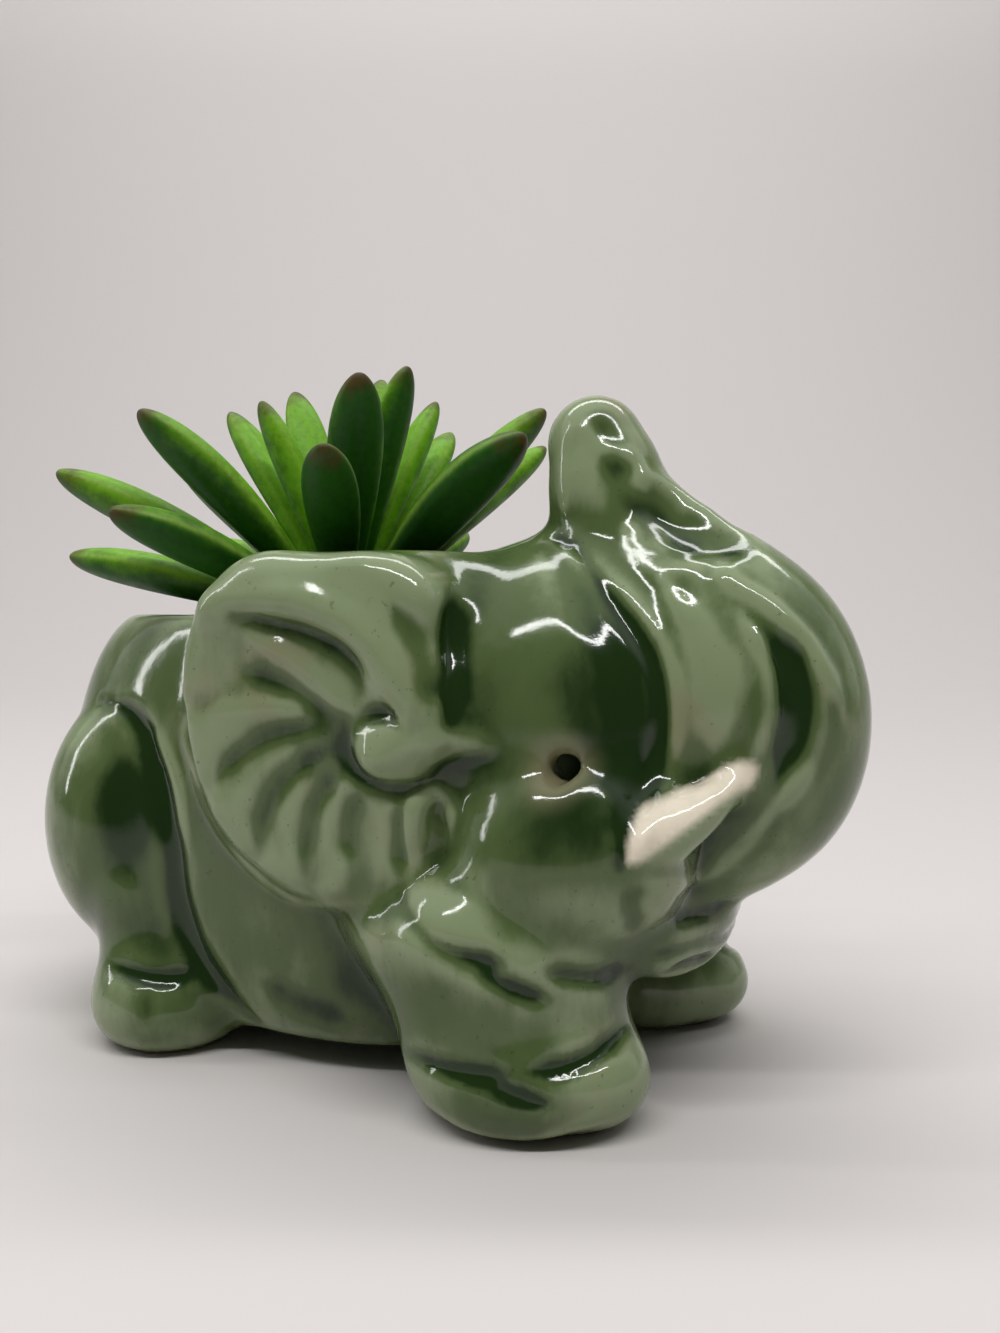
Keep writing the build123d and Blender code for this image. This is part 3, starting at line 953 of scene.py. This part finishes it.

# Spots that make the glaze darker, or paler below zero. The rows marked below paint shade and reflection into
# the colour.
POOLS_AND_PAINTED_SHADING = (
    Spot("ear", (300, 730), 44.0, -0.55),
    # Painted reflection: the top of the ear paler, as it faces up.
    Spot("ear_top", (330, 600), 24.0, -0.35),
    Spot("ear_ribs", (330, 850), 14.0, -0.25),
    Spot("plateau", (318, 662), 6.0, 0.45),
    # Painted shade under the second ridge.
    Spot("below_second_ridge", (262, 690), 10.0, 0.55),
    # Painted shade at the root of the ear.
    Spot("ear_root", (332, 740), 10.0, 1.25),
    Spot("beside_scroll", (430, 700), 9.0, 0.45),
    # Painted dark reflection and shade over the head and the upper cheek.
    Spot("head_front", (622, 700), 16.0, 1.15),
    Spot("head_low", (600, 812), 14.0, 1.05),
    Spot("head_field", (540, 680), 24.0, 0.60),
    Spot("cheek", (520, 832), 14.0, 0.95),
    # Painted reflection: the lower cheek and the chin paler, as they face the pale floor.
    Spot("lower_cheek", (470, 912), 13.0, -0.40),
    Spot("chin_side", (580, 925), 12.0, -0.40),
    Spot("thigh_top", (136, 802), 13.0, 1.45),
    Spot("thigh_low", (122, 880), 19.0, 0.30),
    # Painted dark reflection in the trunk's fold.
    Spot("trunk_fold", (788, 715), 12.0, 1.25),
    Spot("trunk_outer", (835, 800), 24.0, 0.25),
    Spot("trunk_inner", (700, 690), 13.0, -1.15),
    Spot("trunk_inner_top", (690, 610), 9.0, -0.60),
    Spot("tip", (580, 470), 9.0, -0.35),
    # Painted shade in the shallow hollows of the trunk's tip and crest.
    Spot("tip_top", (601, 421), 4.0, 0.8),
    Spot("tip_middle", (613, 466), 4.5, 0.8),
    Spot("tip_foot", (627, 505), 5.0, 1.2),
    Spot("crest_front", (684, 537), 4.5, 1.0),
    Spot("crest_back", (741, 548), 4.5, 0.9),
    # Painted shade in the slots of the leg and foot.
    Spot("leg_slot", (515, 989), 4.0, 0.6),
    Spot("foot_slot", (520, 1098), 3.5, 0.5),
    Spot("belly", (270, 960), 20.0, 0.05),
    # Painted shade where the belly curves under.
    Spot("belly_bottom", (310, 1020), 12.0, 0.45),
    Spot("leg_seam", (362, 985), 7.0, 0.7),
    Spot("front_foot", (500, 1110), 15.0, 0.95),
    Spot("rear_foot", (165, 1010), 13.0, 0.60),
    # Painted reflection: the rump paler, as it faces up.
    Spot("rump", (105, 690), 16.0, -0.35),
    Spot("front_leg", (560, 1030), 16.0, -0.40),
    Spot("leg_top", (420, 980), 12.0, 0.15),
    Spot("eye_ring", (558, 768), 6.5, -0.7),
)


@dataclass
class Casting:
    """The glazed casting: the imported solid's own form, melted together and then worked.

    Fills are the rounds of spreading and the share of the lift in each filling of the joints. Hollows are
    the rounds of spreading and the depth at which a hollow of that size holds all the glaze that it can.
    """

    photographer: Photographer
    rough_voxel: float = 1.0
    fine_voxel: float = 0.91
    softening: int = 3
    rim_height: float = 78.0
    rim_margin: float = 6.0
    edge_rounds: int = 5
    lift_rounds: int = 3
    glaze_rounds: int = 2
    eye_centre: tuple[float, float] = (48.2, 55.0)
    eye_clear: float = 5.0
    eye_full: float = 1.35
    eye_fade: float = 5.2
    eye_curve: float = 1.5
    eye_share: float = 0.8
    tusk_line: tuple[tuple[float, float, float, float], ...] = (
        (55.0, 29.6, 42.0, 4.8), (62.5, 25.0, 46.0, 4.6), (67.5, 20.0, 49.8, 3.4), (71.8, 15.2, 55.0, 1.3))
    tusk_root: float = 58.8
    tusk_edge: float = 0.9
    tusk_hem: float = 1.5
    tusk_steps: int = 40
    tusk_floor: tuple[tuple[float, float], ...] = ((59.0, 42.3), (61.5, 42.9), (65.0, 46.0), (68.3, 49.0),
                                                   (71.5, 52.0))
    lining_seed: tuple[float, float, float] = (-20.0, 0.0, 12.0)
    lining_share: float = 0.12
    lining_rounds: int = 3
    lining_core: float = 0.99
    lining_stride: int = 8
    join_gap: float = 0.002
    sole_height: float = 0.45
    sole_full: float = 1.2
    sole_fade: float = 0.8
    fills: tuple[tuple[int, float], ...] = ((70, 0.9), (30, 0.9), (12, 0.8))
    hollows: tuple[tuple[int, float], ...] = ((6, 0.12), (40, 0.7), (160, 2.2))
    hollow_glaze: float = 0.32
    worked_glaze: float = 0.95
    glaze_range: tuple[float, float] = (-1.2, 1.4)

    def build(self) -> bpy.types.Object:
        """Build the casting and dress it.

        Returns:
            The finished piece.
        """
        piece = self.copy_solid()
        apply_modifier(piece, "REMESH", mode="VOXEL", voxel_size=self.rough_voxel * MM)
        self.melt(piece)
        apply_modifier(piece, "REMESH", mode="VOXEL", voxel_size=self.fine_voxel * MM)
        apply_modifier(piece, "SMOOTH", factor=0.5, iterations=3)
        sculptor = Sculptor(piece, self.photographer)
        # Paint shade and reflection into the glaze, along with the other darker and paler spots.
        sculptor.gather(POOLS_AND_PAINTED_SHADING)
        sculptor.swell(SWELLS)
        sculptor.work(STROKES)
        write_points(piece, neighbour_mean(piece, read_points(piece), self.softening))
        self.stand_flat(piece)
        self.mark_glaze(piece, sculptor.glaze)
        self.thin_lining(piece)
        select_only(piece)
        bpy.ops.object.shade_smooth()
        dress(piece, CeladonGlaze().make())
        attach(piece, "planter")
        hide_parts("planter_body")
        return piece

    def copy_solid(self) -> bpy.types.Object:
        """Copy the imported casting's mesh and join its loose triangles.

        Returns:
            The new piece.
        """
        source = bpy.data.objects["planter_body"]
        piece = bpy.data.objects.new("glazed_casting", source.data.copy())
        bpy.context.scene.collection.objects.link(piece)
        select_only(piece)
        bpy.ops.object.mode_set(mode="EDIT")
        bpy.ops.mesh.select_all(action="SELECT")
        bpy.ops.mesh.remove_doubles(threshold=self.join_gap * MM)
        bpy.ops.object.mode_set(mode="OBJECT")
        return piece

    def local(self, points: np.ndarray) -> np.ndarray:
        """Return points in millimetres from the drawing's ground point."""
        return (points - np.array(self.photographer.ground)) / MM

    def lining(self, piece: bpy.types.Object) -> np.ndarray:
        """Find the casting's inner surface, which runs from the well up to just below the rim.

        Args:
            piece: The casting.

        Returns:
            True for each vertex of the lining.
        """
        place = self.local(read_points(piece))
        eye = np.hypot(place[:, 0] - self.eye_centre[0], place[:, 2] - self.eye_centre[1])
        open_to = (place[:, 2] < self.rim_height - self.rim_margin) & (eye > self.eye_clear)
        first, second = read_edges(piece)
        found = np.zeros(len(place), bool)
        found[np.linalg.norm(place - self.lining_seed, axis=1).argmin()] = True
        count = 0
        while found.sum() > count:
            count = found.sum()
            for _ in range(self.lining_stride):
                found[second[found[first]]] = True
                found[first[found[second]]] = True
                found &= open_to
        return found

    def melt(self, piece: bpy.types.Object) -> None:
        """Fill the joints between the forms as soft clay, and round the edges a little.

        Args:
            piece: The casting.
        """
        eye = self.local(read_points(piece)) - (self.eye_centre[0], 0, self.eye_centre[1])
        free = np.hypot(eye[:, 0], eye[:, 2]) > self.eye_clear
        free &= ~self.lining(piece)
        for rounds, share in self.fills:
            points = read_points(piece)
            normals = read_points(piece, "normal")
            lift = ((neighbour_mean(piece, points, rounds) - points) * normals).sum(axis=1)
            lift = neighbour_mean(piece, np.clip(lift, 0, None) * free, self.lift_rounds)
            write_points(piece, points + normals * (lift * share)[:, None])
        points = read_points(piece)
        soft = neighbour_mean(piece, points, self.edge_rounds)
        soft[~free] = points[~free]
        write_points(piece, soft)

    def stand_flat(self, piece: bpy.types.Object) -> None:
        """Press the soles flat on to the ground.

        Args:
            piece: The casting.
        """
        points = read_points(piece)
        low = points[:, 2] < self.sole_height * MM
        points[low, 2] = 0.0
        write_points(piece, points)

    def thin_lining(self, piece: bpy.types.Object) -> None:
        """Keep only a share of the faces of the lining, which the foam and leaves hide.

        Args:
            piece: The casting.
        """
        lining = self.lining(piece).astype(float)
        inside = neighbour_mean(piece, lining, self.lining_rounds) > self.lining_core
        select_only(piece)
        bpy.ops.object.mode_set(mode="EDIT")
        bpy.ops.mesh.select_all(action="DESELECT")
        bpy.ops.object.mode_set(mode="OBJECT")
        piece.data.vertices.foreach_set("select", inside)
        bpy.ops.object.mode_set(mode="EDIT")
        bpy.context.tool_settings.mesh_select_mode = (True, False, False)
        bpy.ops.mesh.decimate(ratio=self.lining_share)
        bpy.ops.mesh.select_all(action="DESELECT")
        bpy.ops.object.mode_set(mode="OBJECT")

    def mark_glaze(self, piece: bpy.types.Object, worked: np.ndarray) -> None:
        """Store where the glaze pools or shade and reflection are painted, and where the tusks, soles and
        eyes are.

        Args:
            piece: The casting.
            worked: The glaze that the strokes and pools gathered at each vertex, painted shade and painted
                reflection among it.
        """
        points = read_points(piece)
        normals = read_points(piece, "normal")
        # This sum holds painted shade and painted reflection as well as pooled glaze.
        pool_and_painted_shading = worked * self.worked_glaze
        for rounds, scale in self.hollows:
            hollow = ((neighbour_mean(piece, points, rounds) - points) * normals).sum(axis=1)
            pool_and_painted_shading += np.clip(hollow / (scale * MM), -1, 1) * self.hollow_glaze
        pool_and_painted_shading = neighbour_mean(piece, pool_and_painted_shading, self.glaze_rounds)
        write_attribute(piece, "pool_and_painted_shading", np.clip(pool_and_painted_shading, *self.glaze_range))
        local = self.local(points)
        write_attribute(piece, "sole", np.clip(self.sole_full - local[:, 2] / self.sole_fade, 0, 1))
        eye = np.hypot(local[:, 0] - self.eye_centre[0], local[:, 2] - self.eye_centre[1])
        ring = np.clip(self.eye_full - eye / self.eye_fade, 0, 1)
        write_attribute(piece, "eye", ring ** self.eye_curve * self.eye_share)
        write_attribute(piece, "tusk", self.tusk_mask(local))

    def tusk_mask(self, local: np.ndarray) -> np.ndarray:
        """Return how much each vertex belongs to a tusk.

        Args:
            local: The vertices in millimetres from the ground point.

        Returns:
            A share from 0 to 1 for each vertex.
        """
        knots = np.array(self.tusk_line)
        ways = np.linspace(0, len(knots) - 1, self.tusk_steps)
        line = np.array([[np.interp(way, range(len(knots)), knots[:, column]) for column in range(4)]
                         for way in ways])
        place = local.copy()
        place[:, 1] = np.abs(place[:, 1])
        gaps = np.linalg.norm(place[:, None, :] - line[None, :, :3], axis=2) - line[None, :, 3]
        nearest = gaps.min(axis=1)
        floor = np.interp(place[:, 0], *np.array(self.tusk_floor).T)
        mask = np.clip(1 - nearest / self.tusk_edge, 0, 1)
        mask = mask * np.clip((place[:, 2] - floor) / self.tusk_hem + 0.5, 0, 1)
        return mask * np.clip((place[:, 0] - self.tusk_root) / self.tusk_edge, 0, 1)


# Name, heading, rise, reach, girth and shade of each leaf, as Succulent.plant takes them; shade paints the
# whole leaf lighter or darker as light and shade fall on it.
LEAVES = (
    ("rear_low", 200, 15.0, 1.029, 1.00, -0.10),
    ("rear_right_low", 222, 29.7, 1.029, 1.00, 0.10),
    ("right_low", 247, 25.4, 0.852, 1.00, -0.35),
    ("rear_left_low", 164, 21.0, 0.95, 0.95, 0.00),
    ("left_low", 126, 27.0, 0.92, 0.95, 0.00),
    ("front_left_low", 90, 27.0, 0.83, 0.95, -0.10),
    ("right_mid", 240, 45.9, 0.937, 1.00, -0.10),
    ("rear_mid", 186, 42.0, 0.90, 0.92, 0.00),
    ("rear_left_mid", 146, 47.0, 0.93, 0.90, 0.15),
    ("left_mid", 108, 48.0, 0.88, 0.90, 0.10),
    ("front_right_mid", 302, 40.7, 0.806, 0.86, -0.35),
    ("front_mid", 354, 40.1, 0.919, 1.14, -0.45),
    ("front_left_mid", 26, 48.3, 0.975, 0.95, 0.10),
    ("left_front_mid", 56, 41.7, 0.996, 0.90, 0.20),
    ("left_high", 80, 54.9, 0.881, 0.85, 0.20),
    ("front_right_high", 314, 63.6, 0.858, 0.90, -0.15),
    ("front_high", 355, 73.0, 0.874, 0.78, 0.05),
    ("front_left_high", 58, 67.8, 0.847, 0.75, 0.35),
    ("left_top", 108, 67.2, 0.985, 0.75, 0.25),
    ("rear_left_high", 156, 66.9, 0.921, 0.78, 0.25),
    ("rear_high", 188, 59.6, 0.873, 0.82, 0.20),
    ("rear_right_high", 226, 70.6, 0.786, 0.75, 0.35),
    ("centre", 50, 89.0, 0.84, 0.70, 0.20),
)


@dataclass(frozen=True)
class Ring:
    """One section of the leaf: its place along it, its width and thickness, and its arch, as shares."""

    along: float
    width: float
    thickness: float
    arch: float


@dataclass
class Succulent:
    """The plant: its leaves, and the core and stem that carry them."""

    ground: Vector
    core_height: float = 75.0
    core_radius: float = 10.0
    reach: float = 60.0
    root_gap: float = 0.15
    width: float = 12.3
    thickness: float = 9.3
    arch: float = 1.2
    corners: int = 14
    rings: tuple[Ring, ...] = (
        Ring(0.0, 0.36, 0.36, 0.0), Ring(0.16, 0.55, 0.58, 0.55), Ring(0.38, 0.85, 0.86, 1.0),
        Ring(0.60, 1.0, 1.0, 0.85), Ring(0.78, 0.95, 0.93, 0.35), Ring(0.90, 0.72, 0.70, -0.25),
        Ring(0.97, 0.40, 0.42, -0.65), Ring(1.0, 0.12, 0.12, -0.80))
    channel: tuple[float, float, float] = (0.92, -0.16, 0.22)
    keel: tuple[float, float, float] = (0.94, 0.10, 0.16)
    least_size: float = 0.08
    line_turn: float = 0.25
    line_width: float = 0.16
    line_start: float = 3.0

    def build(self) -> list[bpy.types.Object]:
        """Build every leaf and dress the core.

        Returns:
            The leaves.
        """
        dress(bpy.data.objects["plant_core"], StemFinish().make())
        skin = LeafSkin().make()
        pattern = self.model_leaf()
        pattern.data.materials.append(skin)
        leaves = [self.plant(pattern, *row) for row in LEAVES]
        bpy.data.objects.remove(pattern, do_unlink=True)
        return leaves

    def model_leaf(self) -> bpy.types.Object:
        """Model one leaf, one millimetre wide, thick and long in its own shares, standing along +Z.

        Returns:
            The leaf that the others are copied from: its upper face looks towards +Y.
        """
        bpy.ops.object.select_all(action="DESELECT")
        bpy.ops.mesh.primitive_circle_add(vertices=self.corners, radius=0.5, fill_type="NGON")
        leaf = bpy.context.object
        points = read_points(leaf)
        width, depth = points[:, 0].copy(), points[:, 1].copy()
        upper, lower = (share + rise * np.exp(-(width / spread) ** 2)
                        for share, rise, spread in (self.channel, self.keel))
        points[:, 1] = np.where(depth > 0, depth * upper, depth * lower)
        write_points(leaf, points)
        bpy.ops.object.mode_set(mode="EDIT")
        bpy.ops.mesh.select_all(action="SELECT")
        start = self.rings[0]
        bpy.ops.transform.resize(value=(start.width, start.thickness, 1), center_override=(0, 0, 0))
        for before, ring in zip(self.rings, self.rings[1:]):
            rise = ring.along - before.along
            lift = (ring.arch - before.arch) * self.arch / self.thickness
            bpy.ops.mesh.extrude_region_move(TRANSFORM_OT_translate={"value": (0, lift, rise)})
            centre = (0, ring.arch * self.arch / self.thickness, ring.along)
            growth = (ring.width / before.width, ring.thickness / before.thickness, 1)
            bpy.ops.transform.resize(value=growth, center_override=centre)
        bpy.ops.mesh.select_all(action="SELECT")
        bpy.ops.mesh.normals_make_consistent(inside=False)
        bpy.ops.object.mode_set(mode="OBJECT")
        apply_modifier(leaf, "SUBSURF", levels=2, render_levels=2)
        bpy.ops.object.shade_smooth()
        self.mark_skin(leaf)
        return leaf

    def mark_skin(self, leaf: bpy.types.Object) -> None:
        """Store where the leaf's tip, its upper face, which the skin paints lighter as lit from above, and
        its fine pale edge line are.

        Args:
            leaf: The leaf pattern.
        """
        points = read_points(leaf)
        along = np.clip(points[:, 2], 0, 1)
        shares = np.array([(ring.along, ring.width, ring.thickness, ring.arch) for ring in self.rings])
        width, thickness, arch = (np.interp(along, shares[:, 0], shares[:, column]) for column in (1, 2, 3))
        across = points[:, 0] / np.maximum(width, self.least_size) * 2
        lift = points[:, 1] - arch * self.arch / self.thickness
        lift = lift / np.maximum(thickness, self.least_size) * 2
        write_attribute(leaf, "along", along)
        # face rises towards the upper face, where the skin paints light; the lower side takes painted shade.
        write_attribute(leaf, "face", np.clip(0.5 + 0.5 * lift, 0, 1))
        turn = np.arctan2(lift, np.abs(across))
        line = np.exp(-((turn - self.line_turn) / self.line_width) ** 2)
        write_attribute(leaf, "rim", line * np.clip(along * self.line_start, 0, 1))

    def plant(self, pattern: bpy.types.Object, name: str, heading: float, rise: float, reach: float,
              girth: float, shade: float) -> bpy.types.Object:
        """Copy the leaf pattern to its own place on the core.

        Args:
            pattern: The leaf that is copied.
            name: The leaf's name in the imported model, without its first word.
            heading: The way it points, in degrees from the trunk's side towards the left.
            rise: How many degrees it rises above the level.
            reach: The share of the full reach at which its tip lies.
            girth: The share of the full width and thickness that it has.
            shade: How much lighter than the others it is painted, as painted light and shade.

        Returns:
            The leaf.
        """
        turn, tilt = math.radians(heading), math.radians(rise)
        along = Vector((math.cos(tilt) * math.cos(turn), math.cos(tilt) * math.sin(turn), math.sin(tilt)))
        level = Vector((-math.sin(turn), math.cos(turn), 0))
        up = along.cross(level)
        centre = self.ground / MM + Vector((CORE_CENTRE_X, 0, self.core_height))
        root = centre + along * (self.core_radius + self.root_gap)
        length = self.reach * reach - self.core_radius
        columns = (level * self.width * girth, up * self.thickness * girth, along * length)
        frame = Matrix((columns[0], columns[1], columns[2])).transposed().to_4x4()
        frame.translation = root
        leaf = bpy.data.objects.new("leaf_blade_" + name, pattern.data.copy())
        bpy.context.scene.collection.objects.link(leaf)
        leaf.data.transform(Matrix.Scale(MM, 4) @ frame)
        # Painted light and shade: the whole leaf lighter or darker by its shade value.
        write_attribute(leaf, "shade", np.full(len(leaf.data.vertices), shade))
        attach(leaf, "plant")
        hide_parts("leaf_" + name)
        return leaf


# Name, place, aim, size and power of each lamp, as Studio.lamp takes them.
LAMPS = (
    ("strip", (0.0, -0.34, 0.76), (0.0, 0.0, 0.06), (1.0, 0.05), 4.6),
    ("side_strip", (-0.75, 0.0, 0.42), (0.0, 0.0, 0.06), (0.04, 0.6), 1.0),
    ("wall_lamp", (0.0, 0.8, 2.0), (0.0, 1.9, 0.30), (3.0, 0.5), 35.0),
)


@dataclass
class Studio:
    """Pale floor and backdrop, the room's own light, and the lamps.

    Places are metres in a frame that is turned so that the camera looks along its +Y.
    """

    facing: float = 29.61
    half_width: float = 4.5
    back: float = 1.9
    front: float = 3.1
    height: float = 3.2
    fold: float = 1.1
    sink: float = 0.05 * MM
    roughness: float = 0.8
    pale: tuple[float, float, float] = (0.60, 0.567, 0.556)
    bright: tuple[float, float, float] = (0.74, 0.74, 0.74)
    dim: tuple[float, float, float] = (0.06, 0.065, 0.06)
    seen: tuple[float, float, float] = (0.69, 0.68, 0.66)
    overhead: float = -0.75
    bright_until: float = -0.60

    def build(self) -> None:
        """Build the floor, backdrop, world and lamps."""
        self.floor()
        self.world()
        for row in LAMPS:
            self.lamp(*row)

    def turned(self, place: tuple[float, float, float]) -> Vector:
        """Return a place of the camera's frame in the model's frame."""
        return Matrix.Rotation(math.radians(self.facing), 3, "Z") @ Vector(place)

    def select_fold(self, floor: bpy.types.Object) -> None:
        """Go into edit mode with the floor's far edge, at the ground, selected.

        Args:
            floor: The floor, in object mode.
        """
        far = [vertex.co.y > self.back - EDGE_SLACK and vertex.co.z < EDGE_SLACK
               for vertex in floor.data.vertices]
        floor.data.vertices.foreach_set("select", far)
        floor.data.edges.foreach_set("select", [all(far[index] for index in edge.vertices)
                                                for edge in floor.data.edges])
        floor.data.polygons.foreach_set("select", [False] * len(floor.data.polygons))
        bpy.ops.object.mode_set(mode="EDIT")
        bpy.context.tool_settings.mesh_select_mode = (False, True, False)

    def floor(self) -> None:
        """Add the floor, whose far edge turns up into a backdrop behind the object."""
        bpy.ops.object.select_all(action="DESELECT")
        bpy.ops.mesh.primitive_plane_add(size=1.0)
        floor = bpy.context.object
        floor.name = "studio_floor"
        depth = self.back + self.front
        bpy.ops.object.mode_set(mode="EDIT")
        bpy.ops.transform.resize(value=(self.half_width * 2, depth, 1.0), center_override=(0, 0, 0))
        bpy.ops.transform.translate(value=(0, self.back - depth / 2, 0))
        bpy.ops.object.mode_set(mode="OBJECT")
        self.select_fold(floor)
        bpy.ops.mesh.extrude_region_move(TRANSFORM_OT_translate={"value": (0, 0, self.height)})
        bpy.ops.object.mode_set(mode="OBJECT")
        self.select_fold(floor)
        bpy.ops.mesh.bevel(offset=self.fold, segments=24, profile=0.5)
        bpy.ops.object.mode_set(mode="OBJECT")
        floor.data.transform(Matrix.Translation((0, 0, -self.sink)))
        floor.data.transform(Matrix.Rotation(math.radians(self.facing), 4, "Z"))
        select_only(floor)
        bpy.ops.object.shade_smooth()
        sheet = NodeSheet.named("pale_paper")
        sheet.shader.inputs["Base Color"].default_value = (*self.pale, 1.0)
        sheet.shader.inputs["Roughness"].default_value = self.roughness
        floor.data.materials.append(sheet.owner)

    def world(self) -> None:
        """Give the room its light: bright overhead and behind the object, dim before it."""
        world = bpy.data.worlds.new("room")
        bpy.context.scene.world = world
        world.use_nodes = True
        sheet = NodeSheet(world)
        ahead = sheet.add("VectorMath", operation="DOT_PRODUCT")
        turn = math.radians(self.facing)
        ahead.inputs[1].default_value = (math.sin(turn), -math.cos(turn), self.overhead)
        sheet.link(sheet.add("TexCoord").outputs["Generated"], ahead.inputs[0])
        share = sheet.span(ahead.outputs["Value"], self.bright_until, 0.0)
        light = sheet.blend(share, self.bright, self.dim)
        camera_ray = sheet.add("LightPath").outputs["Is Camera Ray"]
        colour = sheet.blend(camera_ray, light, self.seen)
        sheet.link(colour, world.node_tree.nodes["Background"].inputs["Color"])

    def lamp(self, name: str, place: tuple[float, float, float], aim: tuple[float, float, float],
             size: tuple[float, float], power: float) -> None:
        """Add one soft rectangular lamp, whose width lies level.

        Args:
            name: The lamp's name.
            place: Where it stands.
            aim: The point that it shines at.
            size: Its width and height in metres.
            power: Its power in watts.
        """
        data = bpy.data.lights.new(name, "AREA")
        data.shape = "RECTANGLE"
        data.size, data.size_y = size
        data.energy = power
        lamp = bpy.data.objects.new(name, data)
        bpy.context.scene.collection.objects.link(lamp)
        lamp.location = self.turned(place)
        lamp.rotation_mode = "QUATERNION"
        lamp.rotation_quaternion = (lamp.location * -1 + self.turned(aim)).to_track_quat("-Z", "Y")


def main() -> None:
    """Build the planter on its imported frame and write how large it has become."""
    logging.basicConfig(level=logging.INFO, format="%(name)s: %(message)s")
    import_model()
    photographer = Photographer()
    photographer.make_camera()
    Studio().build()
    casting = Casting(photographer).build()
    leaves = Succulent(photographer.ground).build()
    dress(bpy.data.objects["foam_block"], FoamFinish().make())
    for piece in (casting, *leaves):
        log.info("%s has %d faces", piece.name, len(piece.data.polygons))
    bpy.context.scene.view_settings.view_transform = "Standard"


if __name__ == "__main__":
    main()
